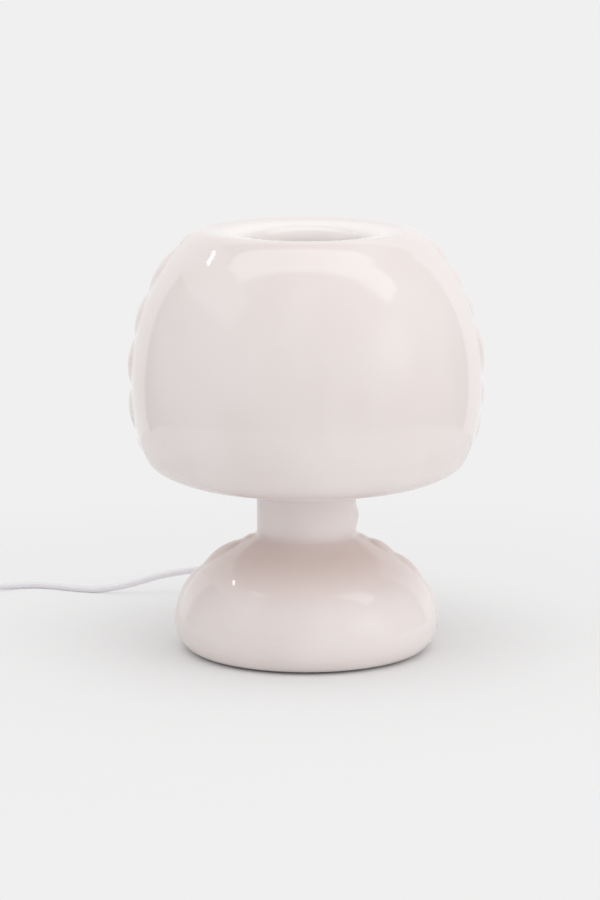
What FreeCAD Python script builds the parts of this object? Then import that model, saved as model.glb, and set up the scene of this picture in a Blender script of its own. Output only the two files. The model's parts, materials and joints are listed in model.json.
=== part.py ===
import FreeCAD, Part
import math
import os

V = FreeCAD.Vector
UP = V(0, 0, 1)
BACK = V(0, 1, 0)

# Driving dimensions, in millimetres. The origin is the middle of the lamp's footprint, +Z is up,
# and the cord leaves the lamp's back, towards +Y.

# Glass
GLASS_WALL = 4.0
LAMP_HEIGHT = 300.0
SHADE_LIP_R = 42.5
SHADE_LIP_DROP = 36.0
SHADE_THROAT = 4.0
SHADE_CREST_R = 74.0
SHADE_BELLY_R = 123.3
SHADE_BELLY_Z = 200.0
SHADE_FOOT_R = 80.0
SHADE_FOOT_DROP = 9.0
SHADE_SEAT_R = 37.0
SHADE_HOLE_R = 26.2
NECK_R = 35.3
NECK_TOP_Z = 128.0
NECK_FOOT_Z = 82.5
BASE_BELLY_R = 93.5
BASE_BELLY_Z = 22.0
BASE_FOOT_R = 83.0
BASE_FOOT_Z = 1.6
BASE_SEAT_R = 66.5
BASE_SEAT_Z = 6.4
BASE_HOLE_R = 57.0

# Outline shapes: shares of the way, in radius and in height, between the named points above
LIP_SHAPE = ((0.06, 0.36), (0.40, 0.79))
SHOULDER_SHAPE = ((0.365, 0.15), (0.56, 0.28), (0.77, 0.475), (0.913, 0.70))
CORNER_SHAPE = ((0.02, 0.365), (0.145, 0.69), (0.295, 0.85), (0.585, 0.95))
UNDERSIDE_SHAPE = ((0.45, 0.25),)
DOME_SHAPE = ((0.25, 0.12), (0.53, 0.285), (0.77, 0.495), (0.914, 0.72))
HEEL_SHAPE = ((0.24, 0.62),)
RECESS_SHAPE = ((0.42, 0.10), (0.80, 0.80))

# Pinched trails: a rope of glass laid down each side and nipped at uneven heights while soft
TRAIL_TURN = 8.0
TRAIL_ROOT = 11.0
TRAIL_NIP = 0.8
TRAIL_RISE = 0.125
TRAIL_SEAT = 0.1

# Nips of each trail, as shares of the drop: from the shade's crest to its foot, from the foot of
# the neck to the foot of the base, and from the top of the neck to its foot
SHADE_NIPS_LEFT = (0.020, 0.068, 0.254, 0.432, 0.630, 0.816, 0.903)
SHADE_NIPS_RIGHT = (0.034, 0.136, 0.243, 0.370, 0.596, 0.723, 0.867, 0.951)
BASE_NIPS_LEFT = (0.012, 0.062, 0.284, 0.661, 0.902)
BASE_NIPS_RIGHT = (0.012, 0.049, 0.179, 0.420, 0.692, 0.909)
NECK_NIPS_RIGHT = (0.549, 0.857)

# Foot and frame
FELT_HEIGHT = 3.4
FELT_IN_R = 45.0
PLATE_R = 65.5
PLATE_THICK = 2.0
SEAL_IN_R = 58.0
STRAP_WIDTH = 18.0
STRAP_THICK = 2.5
STRAP_LEG_X = 20.0
STRAP_FOOT = 14.0
STRAP_SCREW_X = 28.0
STRAP_TOP_Z = 46.0
STRAP_BEND = 2.0
SCREW_R = 2.0
SCREW_HEAD_R = 3.8
SCREW_HEAD_HEIGHT = 2.2
SCREW_CLEAR = 0.2
SCREW_NUT_FLATS = 7.0
SCREW_NUT_HEIGHT = 3.2
SCREW_END = 1.0
TUBE_R = 5.0
TUBE_BORE_R = 3.6
TUBE_CLEAR = 0.15
TUBE_STICK_OUT = 5.0
TUBE_NUT_FLATS = 14.0
TUBE_NUT_HEIGHT = 3.0
WASHER_R = 9.0
WASHER_THICK = 1.0

# Neck cap and the shade's seat
NECK_SEAL_THICK = 1.0
CAP_SHEET = 1.2
CAP_SKIRT_DEPTH = 9.0
CAP_SKIRT_CLEAR = 0.3
CAP_COLLAR_HEIGHT = 6.0
COLLAR_CLEAR = 0.5
GASKET_THICK = 1.5
GASKET_R = 34.3
REST_GAP = 0.2

# Lampholder and bulb
HOLDER_FOOT_R = 9.0
HOLDER_R = 13.8
HOLDER_WALL = 1.7
HOLDER_BASE_WALL = 3.4
HOLDER_BASE_HEIGHT = 18.0
HOLDER_THREAD_DEPTH = 9.0
HOLDER_SHELL_HEIGHT = 36.0
HOLDER_MOUTH_R = 8.4
INSERT_CLEAR = 0.1
INSERT_HEIGHT = 13.0
SLEEVE_WALL = 0.5
SLEEVE_HEIGHT = 19.0
SLEEVE_CLEAR = 0.3
CONTACT_R = 3.5
CONTACT_THICK = 1.6
BULB_CAP_R = 6.95
BULB_TIP_R = 2.4
BULB_TIP_HEIGHT = 1.4
BULB_INSULATOR_RIM = 1.0
BULB_INSULATOR_HEIGHT = 2.4
BULB_COLLAR_R = 12.5
BULB_COLLAR_HEIGHT = 15.0
BULB_COLLAR_RIM = 1.0
BULB_COLLAR_FLARE = (0.75, 0.45)
BULB_R = 22.5
BULB_GLASS_WALL = 1.0

# Cord, gland and clamp
CORD_R = 2.5
CORD_EXIT_Z = 24.0
GLAND_HOLE_CLEAR = 0.2
GLAND_BODY_R = 5.0
GLAND_FLANGE_R = 7.5
GLAND_FLANGE_THICK = 2.5
GLAND_FLANGE_SINK = 1.0
GLAND_CHAMFER = 1.0
GLAND_TIP_R = 3.2
GLAND_LENGTH = 24.0
CLAMP_Y = 34.5
CLAMP_WIDTH = 34.0
CLAMP_DEPTH = 9.0
CLAMP_FOOT_THICK = 2.5
CLAMP_WALL = 2.2
CLAMP_CLEAR = 0.1
CLAMP_SCREW_X = 12.0
LEAD_BEND_R = 26.0
LEAD_BEND_STEPS = 4
LEAD_SHAPE = ((0.394, 0.0), (0.712, 0.298), (1.0, 0.752))
LEAD_SEAT_CLEAR = 3.2
LEAD_LEVEL_RUN = 9.5

# In-line switch
SWITCH_X = -286.0
SWITCH_Y = 115.0
SWITCH_HEADING = 238.0
SWITCH_LENGTH = 60.0
SWITCH_WIDTH = 25.0
SWITCH_END_WIDTH = 12.0
SWITCH_TAPER = 13.0
SWITCH_BASE_HEIGHT = 7.5
SWITCH_COVER_HEIGHT = 8.5
SWITCH_WALL = 2.0
SWITCH_ROUND = 2.5
SWITCH_SCREW_R = 1.9
SWITCH_SCREW_SHARE = 0.33
SWITCH_SCREW_BITE = 4.0
ROCKER_LENGTH = 21.0
ROCKER_WIDTH = 9.4
ROCKER_CLEAR = 0.7
ROCKER_TILT = 7.0
ROCKER_PIVOT_Z = 13.0
ROCKER_RISE = 4.4
ROCKER_DEPTH = 3.0
ROCKER_PIN_R = 1.5
ROCKER_PIN_CLEAR = 0.05
ROCKER_PIN_REACH = 1.4
CONTACT_STRIP = (9.0, 5.0, 1.0)
CONTACT_STRIP_GAP = 3.6

# Coil, tie and plug
COIL_X = -291.0
COIL_Y = 35.0
COIL_R = 29.5
COIL_BOTTOM_TURNS = 4
TIE_THICK = 0.8
TIE_WIDTH = 6.0
TIE_CLEAR = 0.3
PLUG_X = -313.0
PLUG_Y = -19.0
PLUG_HEADING = 290.0
PLUG_SLEEVE_LENGTH = 20.0
PLUG_SLEEVE_R = 4.6
PLUG_SLEEVE_TIP_R = 3.2
PLUG_LENGTH = 36.0
PLUG_WIDTH = 35.3
PLUG_TAIL_WIDTH = 13.0
PLUG_THICK = 13.7
PLUG_TAIL_THICK = 9.6
PLUG_FRONT = 14.0
PLUG_EDGE = 3.4
PLUG_PIN_SPACING = 18.6
PLUG_PIN_R = 2.0
PLUG_PIN_LENGTH = 19.0
PLUG_COLLAR_LENGTH = 10.0
PLUG_COLLAR_WALL = 0.4


def between(start, end, share):
    return start + (end - start) * share


def span(start, end, shape):
    """Points of an outline between two named points, by shares of the way in radius and height."""
    return [V(between(start.x, end.x, r), 0, between(start.z, end.z, z)) for r, z in shape]


def spline(points):
    curve = Part.BSplineCurve()
    curve.interpolate(points)
    return curve


def moved_in(curve, points, distance):
    """An outline's points, moved square to it towards the inside of the glass."""
    moved = []
    for point in points:
        tangent = curve.tangent(curve.parameter(point))[0]
        moved.append(point + V(tangent.z, 0, -tangent.x) * distance)
    return moved


def chain(*items):
    """A face in the XZ plane from curves and points in order, closed with straight edges."""
    edges = []
    start = None
    here = None
    for item in items:
        curved = hasattr(item, "toShape")
        first = item.value(item.FirstParameter) if curved else item
        if here is not None and (first - here).Length > 1e-6:
            edges.append(Part.makeLine(here, first))
        if start is None:
            start = first
        if curved:
            edges.append(item.toShape())
            here = item.value(item.LastParameter)
        else:
            here = item
    edges.append(Part.makeLine(here, start))
    return Part.Face(Part.Wire(edges))


def profile(*pairs):
    return [V(r, 0, z) for r, z in pairs]


def turned(*items):
    return chain(*items).revolve(V(0, 0, 0), UP, 360)


def ring(inner_r, outer_r, bottom_z, height):
    body = Part.makeCylinder(outer_r, height, V(0, 0, bottom_z))
    return body.cut(Part.makeCylinder(inner_r, height, V(0, 0, bottom_z)))


def hexagon(flats, height, base):
    corner_r = flats / math.sqrt(3)
    corners = [
        base + V(corner_r * math.cos(math.radians(a)), corner_r * math.sin(math.radians(a)), 0)
        for a in range(0, 361, 60)
    ]
    return Part.Face(Part.makePolygon(corners)).extrude(UP * height)


def save(node, shape):
    shape.exportStep("parts/%s.step" % node)


# Stack of seats, from the floor up
PLATE_Z = FELT_HEIGHT
PLATE_TOP_Z = PLATE_Z + PLATE_THICK
STRAP_UNDER_Z = STRAP_TOP_Z - STRAP_THICK
NECK_IN_R = NECK_R - GLASS_WALL
CAP_Z = NECK_TOP_Z + NECK_SEAL_THICK
CAP_TOP_Z = CAP_Z + CAP_SHEET
GASKET_TOP_Z = CAP_TOP_Z + GASKET_THICK
SHADE_SEAT_Z = GASKET_TOP_Z + REST_GAP
CAP_NUT_Z = CAP_TOP_Z + WASHER_THICK
HOLDER_Z = CAP_NUT_Z + TUBE_NUT_HEIGHT
HOLDER_TOP_Z = HOLDER_Z + HOLDER_BASE_HEIGHT
INSERT_TOP_Z = HOLDER_TOP_Z + INSERT_HEIGHT
BULB_Z = INSERT_TOP_Z + CONTACT_THICK + REST_GAP
TUBE_BOTTOM_Z = STRAP_UNDER_Z - TUBE_NUT_HEIGHT - TUBE_STICK_OUT
TUBE_TOP_Z = HOLDER_Z + HOLDER_THREAD_DEPTH
CORD_FLOOR_Z = CORD_R


def height_on(curve, above, below, z):
    """The point of an outline at one height, between a higher and a lower point on it."""
    high = curve.parameter(above)
    low = curve.parameter(below)
    for _ in range(40):
        middle = (high + low) / 2
        if curve.value(middle).z > z:
            high = middle
        else:
            low = middle
    return curve.value(high)


def bead(upper, lower):
    """One swelling of a trail: a barrel along the outline, whose axis lies under the surface."""
    along = lower - upper
    length = along.Length
    outward = V(-along.z, 0, along.x) / length
    start = upper - outward * TRAIL_ROOT
    end = lower - outward * TRAIL_ROOT
    nip = TRAIL_ROOT + TRAIL_NIP
    swell = nip + length * TRAIL_RISE
    start_rim = start + outward * nip
    end_rim = end + outward * nip
    crown = (start + end) / 2 + outward * swell
    crest = Part.Arc(end_rim, crown, start_rim)
    edges = [
        Part.makeLine(start, end),
        Part.makeLine(end, end_rim),
        crest.toShape(),
        Part.makeLine(start_rim, start),
    ]
    return Part.Face(Part.Wire(edges)).revolve(start, along, 360)


def trail(points, turn, glass):
    """A row of beads through the nipped points, turned about the lamp's axis, outside the glass."""
    beads = [bead(upper, lower) for upper, lower in zip(points, points[1:])]
    rope = beads[0].multiFuse(beads[1:]) if len(beads) > 1 else beads[0]
    rope.rotate(V(0, 0, 0), UP, turn)
    return rope.cut(glass)


def trails(curve, above, below, left, right, glass):
    """The left and the right trail, nipped at shares of the drop between two outline points."""
    ropes = []
    for nips, turn in ((left, 180 - TRAIL_TURN), (right, TRAIL_TURN)):
        heights = [between(above.z, below.z, share) for share in nips]
        ropes.append(trail([height_on(curve, above, below, z) for z in heights], turn, glass))
    return ropes


def make_shade():
    """Blown bun with a rolled-in top opening and a closed underside with a hole, and its trails."""
    lip = V(SHADE_LIP_R, 0, LAMP_HEIGHT - SHADE_LIP_DROP)
    crest = V(SHADE_CREST_R, 0, LAMP_HEIGHT)
    belly = V(SHADE_BELLY_R, 0, SHADE_BELLY_Z)
    foot = V(SHADE_FOOT_R, 0, SHADE_SEAT_Z - SHADE_FOOT_DROP)
    seat = V(SHADE_SEAT_R, 0, SHADE_SEAT_Z)
    points = [lip] + span(lip, crest, LIP_SHAPE)
    points += [crest] + span(crest, belly, SHOULDER_SHAPE)
    points += [belly] + span(belly, foot, CORNER_SHAPE)
    points += [foot] + span(foot, seat, UNDERSIDE_SHAPE) + [seat]
    outer = spline(points)
    inner = spline(moved_in(outer, points, GLASS_WALL)[::-1])
    trail_seat = spline(moved_in(outer, points, -TRAIL_SEAT))
    edge = lip - UP * SHADE_THROAT
    round_edge = Part.Arc(
        edge + V(GLASS_WALL, 0, 0),
        edge + V(GLASS_WALL / 2, 0, -GLASS_WALL / 2),
        edge,
    )
    glass = turned(
        round_edge,
        outer,
        V(SHADE_HOLE_R, 0, SHADE_SEAT_Z),
        V(SHADE_HOLE_R, 0, SHADE_SEAT_Z + GLASS_WALL),
        inner,
    )
    filled = turned(trail_seat, V(0, 0, seat.z), V(0, 0, lip.z))
    ropes = trails(outer, crest, foot, SHADE_NIPS_LEFT, SHADE_NIPS_RIGHT, filled)
    return glass, Part.makeCompound(ropes)


def make_base():
    """Squashed dome with a straight neck, open underneath, with a cord hole, and its trails."""
    neck_top = V(NECK_R, 0, NECK_TOP_Z)
    neck_foot = V(NECK_R, 0, NECK_FOOT_Z)
    belly = V(BASE_BELLY_R, 0, BASE_BELLY_Z)
    foot = V(BASE_FOOT_R, 0, BASE_FOOT_Z)
    seat = V(BASE_SEAT_R, 0, BASE_SEAT_Z)
    points = [neck_foot] + span(neck_foot, belly, DOME_SHAPE)
    points += [belly] + span(belly, foot, HEEL_SHAPE)
    points += [foot] + span(foot, seat, RECESS_SHAPE) + [seat]
    outer = spline(points)
    inner = spline(moved_in(outer, points, GLASS_WALL)[::-1])
    trail_seat = spline(moved_in(outer, points, -TRAIL_SEAT))
    glass = turned(
        neck_top,
        outer,
        V(BASE_HOLE_R, 0, BASE_SEAT_Z),
        V(BASE_HOLE_R, 0, BASE_SEAT_Z + GLASS_WALL),
        inner,
        V(NECK_IN_R, 0, inner.value(inner.LastParameter).z),
        V(NECK_IN_R, 0, NECK_TOP_Z),
    )
    hole_r = GLAND_BODY_R + GLAND_HOLE_CLEAR
    hole = Part.makeCylinder(hole_r, BASE_BELLY_R, V(0, BASE_HOLE_R, CORD_EXIT_Z), BACK)
    wall_r = height_on(outer, neck_foot, foot, CORD_EXIT_Z).x
    filled = turned(
        V(0, 0, NECK_TOP_Z),
        neck_top + V(TRAIL_SEAT, 0, 0),
        trail_seat,
        V(0, 0, BASE_SEAT_Z),
    )
    ropes = trails(outer, neck_foot, foot, BASE_NIPS_LEFT, BASE_NIPS_RIGHT, filled)
    neck_nips = [between(NECK_TOP_Z, NECK_FOOT_Z, share) for share in NECK_NIPS_RIGHT]
    ropes.append(trail([V(NECK_R, 0, z) for z in neck_nips], TRAIL_TURN, filled))
    return glass.cut(hole), Part.makeCompound(ropes), wall_r


def screw(x, y):
    """A pan-head screw from under the plate, long enough for its nut."""
    length = PLATE_THICK + STRAP_THICK + SCREW_NUT_HEIGHT + SCREW_END
    head = Part.makeCylinder(SCREW_HEAD_R, SCREW_HEAD_HEIGHT, V(x, y, PLATE_Z - SCREW_HEAD_HEIGHT))
    shank = Part.makeCylinder(SCREW_R, length, V(x, y, PLATE_Z))
    return head.fuse(shank).removeSplitter()


def screw_nut(x, y, seat_z):
    nut = hexagon(SCREW_NUT_FLATS, SCREW_NUT_HEIGHT, V(x, y, seat_z))
    return nut.cut(Part.makeCylinder(SCREW_R, SCREW_NUT_HEIGHT, V(x, y, seat_z)))


def tube_nut(seat_z):
    nut = hexagon(TUBE_NUT_FLATS, TUBE_NUT_HEIGHT, V(0, 0, seat_z))
    return nut.cut(Part.makeCylinder(TUBE_R, TUBE_NUT_HEIGHT, V(0, 0, seat_z)))


def make_plate(screw_places):
    plate = Part.makeCylinder(PLATE_R, PLATE_THICK, V(0, 0, PLATE_Z))
    for x, y in screw_places:
        plate = plate.cut(Part.makeCylinder(SCREW_R + SCREW_CLEAR, PLATE_THICK, V(x, y, PLATE_Z)))
    return plate


def make_strap():
    """Hat-shaped steel strap that carries the foot of the threaded tube above the plate."""
    inside_x = STRAP_LEG_X - STRAP_THICK
    end_x = STRAP_LEG_X + STRAP_FOOT
    foot_z = PLATE_TOP_Z + STRAP_THICK
    outline = [
        (-end_x, PLATE_TOP_Z),
        (-inside_x, PLATE_TOP_Z),
        (-inside_x, STRAP_UNDER_Z),
        (inside_x, STRAP_UNDER_Z),
        (inside_x, PLATE_TOP_Z),
        (end_x, PLATE_TOP_Z),
        (end_x, foot_z),
        (STRAP_LEG_X, foot_z),
        (STRAP_LEG_X, STRAP_TOP_Z),
        (-STRAP_LEG_X, STRAP_TOP_Z),
        (-STRAP_LEG_X, foot_z),
        (-end_x, foot_z),
    ]
    corners = [V(x, -STRAP_WIDTH / 2, z) for x, z in outline]
    strap = Part.Face(Part.makePolygon(corners + corners[:1])).extrude(BACK * STRAP_WIDTH)
    outside = [
        edge
        for edge in strap.Edges
        if abs(edge.Length - STRAP_WIDTH) < 1e-6 and edge.BoundBox.ZMin > STRAP_TOP_Z - 1e-6
    ]
    strap = strap.makeFillet(STRAP_THICK + STRAP_BEND, outside)
    inside = [
        edge
        for edge in strap.Edges
        if abs(edge.Length - STRAP_WIDTH) < 1e-6
        and abs(edge.BoundBox.ZMin - STRAP_UNDER_Z) < 1e-6
        and abs(abs(edge.BoundBox.XMin) - inside_x) < 1e-6
    ]
    strap = strap.makeFillet(STRAP_BEND, inside)
    holes = [
        Part.makeCylinder(TUBE_R + TUBE_CLEAR, STRAP_THICK, V(0, 0, STRAP_UNDER_Z)),
        Part.makeCylinder(SCREW_R + SCREW_CLEAR, STRAP_THICK, V(STRAP_SCREW_X, 0, PLATE_TOP_Z)),
        Part.makeCylinder(SCREW_R + SCREW_CLEAR, STRAP_THICK, V(-STRAP_SCREW_X, 0, PLATE_TOP_Z)),
    ]
    return strap.cut(holes)


def make_clamp():
    """Moulded saddle that grips the cord on the plate."""
    cord_z = PLATE_TOP_Z + CORD_R
    bore_r = CORD_R + CLAMP_CLEAR
    arch_r = bore_r + CLAMP_WALL
    near = CLAMP_Y - CLAMP_DEPTH / 2
    foot = Part.makeBox(
        CLAMP_WIDTH, CLAMP_DEPTH, CLAMP_FOOT_THICK, V(-CLAMP_WIDTH / 2, near, PLATE_TOP_Z)
    )
    arch = Part.makeCylinder(arch_r, CLAMP_DEPTH, V(0, near, cord_z), BACK)
    sides = Part.makeBox(2 * arch_r, CLAMP_DEPTH, CORD_R, V(-arch_r, near, PLATE_TOP_Z))
    groove = Part.makeCylinder(bore_r, CLAMP_DEPTH, V(0, near, cord_z), BACK)
    slot = Part.makeBox(2 * bore_r, CLAMP_DEPTH, CORD_R, V(-bore_r, near, PLATE_TOP_Z))
    under = Part.makeBox(2 * arch_r, CLAMP_DEPTH, arch_r, V(-arch_r, near, PLATE_TOP_Z - arch_r))
    saddle = foot.fuse([arch, sides]).cut([groove, slot, under])
    holes = [
        Part.makeCylinder(SCREW_R + SCREW_CLEAR, CLAMP_FOOT_THICK, V(x, CLAMP_Y, PLATE_TOP_Z))
        for x in (-CLAMP_SCREW_X, CLAMP_SCREW_X)
    ]
    return saddle.cut(holes).removeSplitter()


def make_tube():
    return ring(TUBE_BORE_R, TUBE_R, TUBE_BOTTOM_Z, TUBE_TOP_Z - TUBE_BOTTOM_Z)


def make_neck_cap():
    """Spun cap: a skirt down inside the neck, a rim on its seal and a collar round the nut."""
    skirt_r = NECK_IN_R - CAP_SKIRT_CLEAR
    collar_r = SHADE_HOLE_R - COLLAR_CLEAR
    collar_top = CAP_TOP_Z + CAP_COLLAR_HEIGHT
    points = profile(
        (TUBE_R + TUBE_CLEAR, CAP_Z),
        (skirt_r - CAP_SHEET, CAP_Z),
        (skirt_r - CAP_SHEET, CAP_Z - CAP_SKIRT_DEPTH),
        (skirt_r, CAP_Z - CAP_SKIRT_DEPTH),
        (skirt_r, CAP_Z),
        (NECK_R, CAP_Z),
        (NECK_R, CAP_TOP_Z),
        (collar_r, CAP_TOP_Z),
        (collar_r, collar_top),
        (collar_r - CAP_SHEET, collar_top),
        (collar_r - CAP_SHEET, CAP_TOP_Z),
        (TUBE_R + TUBE_CLEAR, CAP_TOP_Z),
    )
    return turned(*points)


def make_holder_base():
    """Lower half of the lampholder: a cup whose boss screws onto the tube."""
    inside = HOLDER_R - HOLDER_BASE_WALL
    thread_top = HOLDER_Z + HOLDER_THREAD_DEPTH
    points = profile(
        (TUBE_R, HOLDER_Z),
        (HOLDER_FOOT_R, HOLDER_Z),
        (HOLDER_R, HOLDER_Z + HOLDER_BASE_HEIGHT / 2),
        (HOLDER_R, HOLDER_TOP_Z),
        (inside, HOLDER_TOP_Z),
        (inside, thread_top),
        (TUBE_R, thread_top),
    )
    return turned(*points)


def make_holder_shell():
    """Upper half of the lampholder, with an inward lip round the mouth."""
    top = HOLDER_TOP_Z + HOLDER_SHELL_HEIGHT
    inside = HOLDER_R - HOLDER_WALL
    points = profile(
        (inside, HOLDER_TOP_Z),
        (HOLDER_R, HOLDER_TOP_Z),
        (HOLDER_R, top - HOLDER_WALL),
        (HOLDER_R - HOLDER_WALL, top),
        (HOLDER_MOUTH_R, top),
        (HOLDER_MOUTH_R, top - HOLDER_WALL),
        (inside, top - HOLDER_WALL),
    )
    return turned(*points)


def make_holder_insert():
    radius = HOLDER_R - HOLDER_WALL - INSERT_CLEAR
    return Part.makeCylinder(radius, INSERT_HEIGHT, V(0, 0, HOLDER_TOP_Z))


def make_holder_contacts():
    """The threaded sleeve and the middle contact, both standing on the insert."""
    bore_r = BULB_CAP_R + SLEEVE_CLEAR
    sleeve = ring(bore_r, bore_r + SLEEVE_WALL, INSERT_TOP_Z, SLEEVE_HEIGHT)
    middle = Part.makeCylinder(CONTACT_R, CONTACT_THICK, V(0, 0, INSERT_TOP_Z))
    return Part.makeCompound([sleeve, middle])


def bulb_levels():
    insulator_z = BULB_Z + BULB_TIP_HEIGHT
    cap_z = insulator_z + BULB_INSULATOR_HEIGHT
    collar_z = HOLDER_TOP_Z + HOLDER_SHELL_HEIGHT + REST_GAP
    glass_z = collar_z + BULB_COLLAR_HEIGHT
    return insulator_z, cap_z, collar_z, glass_z


def make_bulb_tip():
    return Part.makeCylinder(BULB_TIP_R, BULB_TIP_HEIGHT, V(0, 0, BULB_Z))


def make_bulb_insulator():
    bottom, top, _, _ = bulb_levels()
    return Part.makeCone(BULB_TIP_R + BULB_INSULATOR_RIM, BULB_CAP_R, top - bottom, V(0, 0, bottom))


def make_bulb_cap():
    """The screw cap, up to the underside of the collar."""
    _, bottom, top, _ = bulb_levels()
    return Part.makeCylinder(BULB_CAP_R, top - bottom, V(0, 0, bottom))


def make_bulb_collar():
    """Flared plastic collar between the cap and the glass."""
    _, _, bottom, top = bulb_levels()
    out, up = BULB_COLLAR_FLARE
    flare = Part.Arc(
        V(BULB_COLLAR_R, 0, top),
        V(between(BULB_CAP_R, BULB_COLLAR_R, out), 0, between(bottom, top, up)),
        V(BULB_CAP_R + BULB_COLLAR_RIM, 0, bottom),
    )
    return turned(V(0, 0, top), flare, V(0, 0, bottom))


def make_bulb_glass():
    """Opal globe with a short throat that stands on the collar."""
    _, _, _, bottom = bulb_levels()
    throat_in = BULB_COLLAR_R - BULB_GLASS_WALL
    inner_r = BULB_R - BULB_GLASS_WALL
    centre_z = bottom + math.sqrt(BULB_R**2 - BULB_COLLAR_R**2)
    inner_z = centre_z - math.sqrt(inner_r**2 - throat_in**2)
    outside = Part.Arc(
        V(BULB_COLLAR_R, 0, bottom), V(BULB_R, 0, centre_z), V(0, 0, centre_z + BULB_R)
    )
    inside = Part.Arc(
        V(0, 0, centre_z + inner_r), V(inner_r, 0, centre_z), V(throat_in, 0, inner_z)
    )
    return turned(outside, inside, V(throat_in, 0, bottom))


def make_gland(wall_r, glass):
    """Moulded bush in the glass, with a flange each side of the wall and a tapered tail."""
    tail_start = wall_r + GLAND_FLANGE_THICK
    inner_end = wall_r - GLASS_WALL - GLAND_FLANGE_THICK
    points = [
        V(0, inner_end, 0),
        V(GLAND_FLANGE_R, inner_end, 0),
        V(GLAND_FLANGE_R, wall_r - GLASS_WALL, 0),
        V(GLAND_BODY_R, wall_r - GLASS_WALL, 0),
        V(GLAND_BODY_R, wall_r - GLAND_FLANGE_SINK, 0),
        V(GLAND_FLANGE_R, wall_r - GLAND_FLANGE_SINK, 0),
        V(GLAND_FLANGE_R, tail_start - GLAND_CHAMFER, 0),
        V(GLAND_FLANGE_R - GLAND_CHAMFER, tail_start, 0),
        V(GLAND_BODY_R, tail_start, 0),
        V(GLAND_TIP_R, tail_start + GLAND_LENGTH, 0),
        V(0, tail_start + GLAND_LENGTH, 0),
    ]
    bush = Part.Face(Part.makePolygon(points + points[:1])).revolve(V(0, 0, 0), BACK, 360)
    bush.translate(V(0, 0, CORD_EXIT_Z))
    bush = max(bush.cut(glass).Solids, key=lambda solid: solid.Volume)
    return bush, inner_end, tail_start + GLAND_LENGTH


def route(name, points):
    """A cord's tube: straight runs joined by the largest tangent arcs that the runs allow."""
    radii = []
    edges = []
    here = points[0]
    for before, point, after in zip(points, points[1:], points[2:]):
        back = before - point
        ahead = after - point
        half_turn = (math.pi - back.getAngle(ahead)) / 2
        reach = 0.45 * min(back.Length, ahead.Length)
        radius = reach / math.tan(half_turn)
        back.normalize()
        ahead.normalize()
        start = point + back * reach
        end = point + ahead * reach
        inward = (back + ahead).normalize()
        centre = point + inward * (radius / math.cos(half_turn))
        middle = centre - inward * radius
        edges.append(Part.LineSegment(here, start).toShape())
        edges.append(Part.Arc(start, middle, end).toShape())
        radii.append(radius)
        here = end
    edges.append(Part.LineSegment(here, points[-1]).toShape())
    path = Part.Wire(edges)
    heading = points[1] - points[0]
    section = Part.Wire(Part.makeCircle(CORD_R, points[0], heading))
    tube = path.makePipeShell([section], True, False)
    expected = math.pi * CORD_R**2 * path.Length
    print(
        "%s: length %.1f, smallest radius %.1f, volume / (section x length) %.4f"
        % (name, path.Length, min(radii), tube.Volume / expected)
    )
    return tube, path.Length


def heading_point(x, y, z, heading, distance):
    angle = math.radians(heading)
    return V(x + distance * math.cos(angle), y + distance * math.sin(angle), z)


def placed(shape, x, y, heading):
    """A piece drawn along +X at the origin, turned to its heading and moved to its place."""
    shape.rotate(V(0, 0, 0), UP, heading)
    shape.translate(V(x, y, 0))
    return shape


def make_inner_lead(inner_end):
    """The cord inside the base: down to the clamp, round a quarter bend and up the tube."""
    clamp_z = PLATE_TOP_Z + CORD_R
    over_seat = BASE_HOLE_R - LEAD_SEAT_CLEAR
    points = [V(0, inner_end, CORD_EXIT_Z)]
    for along, down in LEAD_SHAPE:
        points.append(
            V(0, between(inner_end, over_seat, along), between(CORD_EXIT_Z, clamp_z, down))
        )
    points.append(V(0, over_seat - LEAD_LEVEL_RUN, clamp_z))
    step = 90.0 / LEAD_BEND_STEPS
    corner_r = LEAD_BEND_R / math.cos(math.radians(step / 2))
    for turn in range(LEAD_BEND_STEPS):
        angle = math.radians(270 - (turn + 0.5) * step)
        y = LEAD_BEND_R + corner_r * math.cos(angle)
        z = clamp_z + LEAD_BEND_R + corner_r * math.sin(angle)
        points.append(V(0, y, z))
    points.append(V(0, 0, TUBE_TOP_Z))
    return route("lead in the base", points)


def switch_outline(width, end_width, length):
    """Plan of the switch: parallel sides with a taper at each end."""
    half = length / 2
    corners = [
        V(-half, -end_width / 2, 0),
        V(-half + SWITCH_TAPER, -width / 2, 0),
        V(half - SWITCH_TAPER, -width / 2, 0),
        V(half, -end_width / 2, 0),
        V(half, end_width / 2, 0),
        V(half - SWITCH_TAPER, width / 2, 0),
        V(-half + SWITCH_TAPER, width / 2, 0),
        V(-half, end_width / 2, 0),
    ]
    return Part.Face(Part.makePolygon(corners + corners[:1]))


def round_top(body, top_z):
    edges = [
        edge
        for edge in body.Edges
        if edge.BoundBox.ZMin > top_z - 1e-6 and edge.BoundBox.ZMax < top_z + 1e-6
    ]
    return body.makeFillet(SWITCH_ROUND, edges)


def switch_screw_places():
    x = SWITCH_LENGTH * SWITCH_SCREW_SHARE
    return [V(-x, 0, 0), V(x, 0, 0)]


def switch_cavity(bottom, height):
    length = ROCKER_LENGTH + 2 * ROCKER_CLEAR
    width = ROCKER_WIDTH + 2 * ROCKER_CLEAR
    return Part.makeBox(length, width, height, V(-length / 2, -width / 2, bottom))


def make_switch_base():
    plan = switch_outline(SWITCH_WIDTH, SWITCH_END_WIDTH, SWITCH_LENGTH)
    body = plan.extrude(UP * SWITCH_BASE_HEIGHT)
    cuts = [switch_cavity(SWITCH_WALL, SWITCH_BASE_HEIGHT)]
    for place in switch_screw_places():
        cuts.append(Part.makeCylinder(SWITCH_SCREW_R, SWITCH_BASE_HEIGHT, place))
    return placed(body.cut(cuts), SWITCH_X, SWITCH_Y, SWITCH_HEADING)


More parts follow.
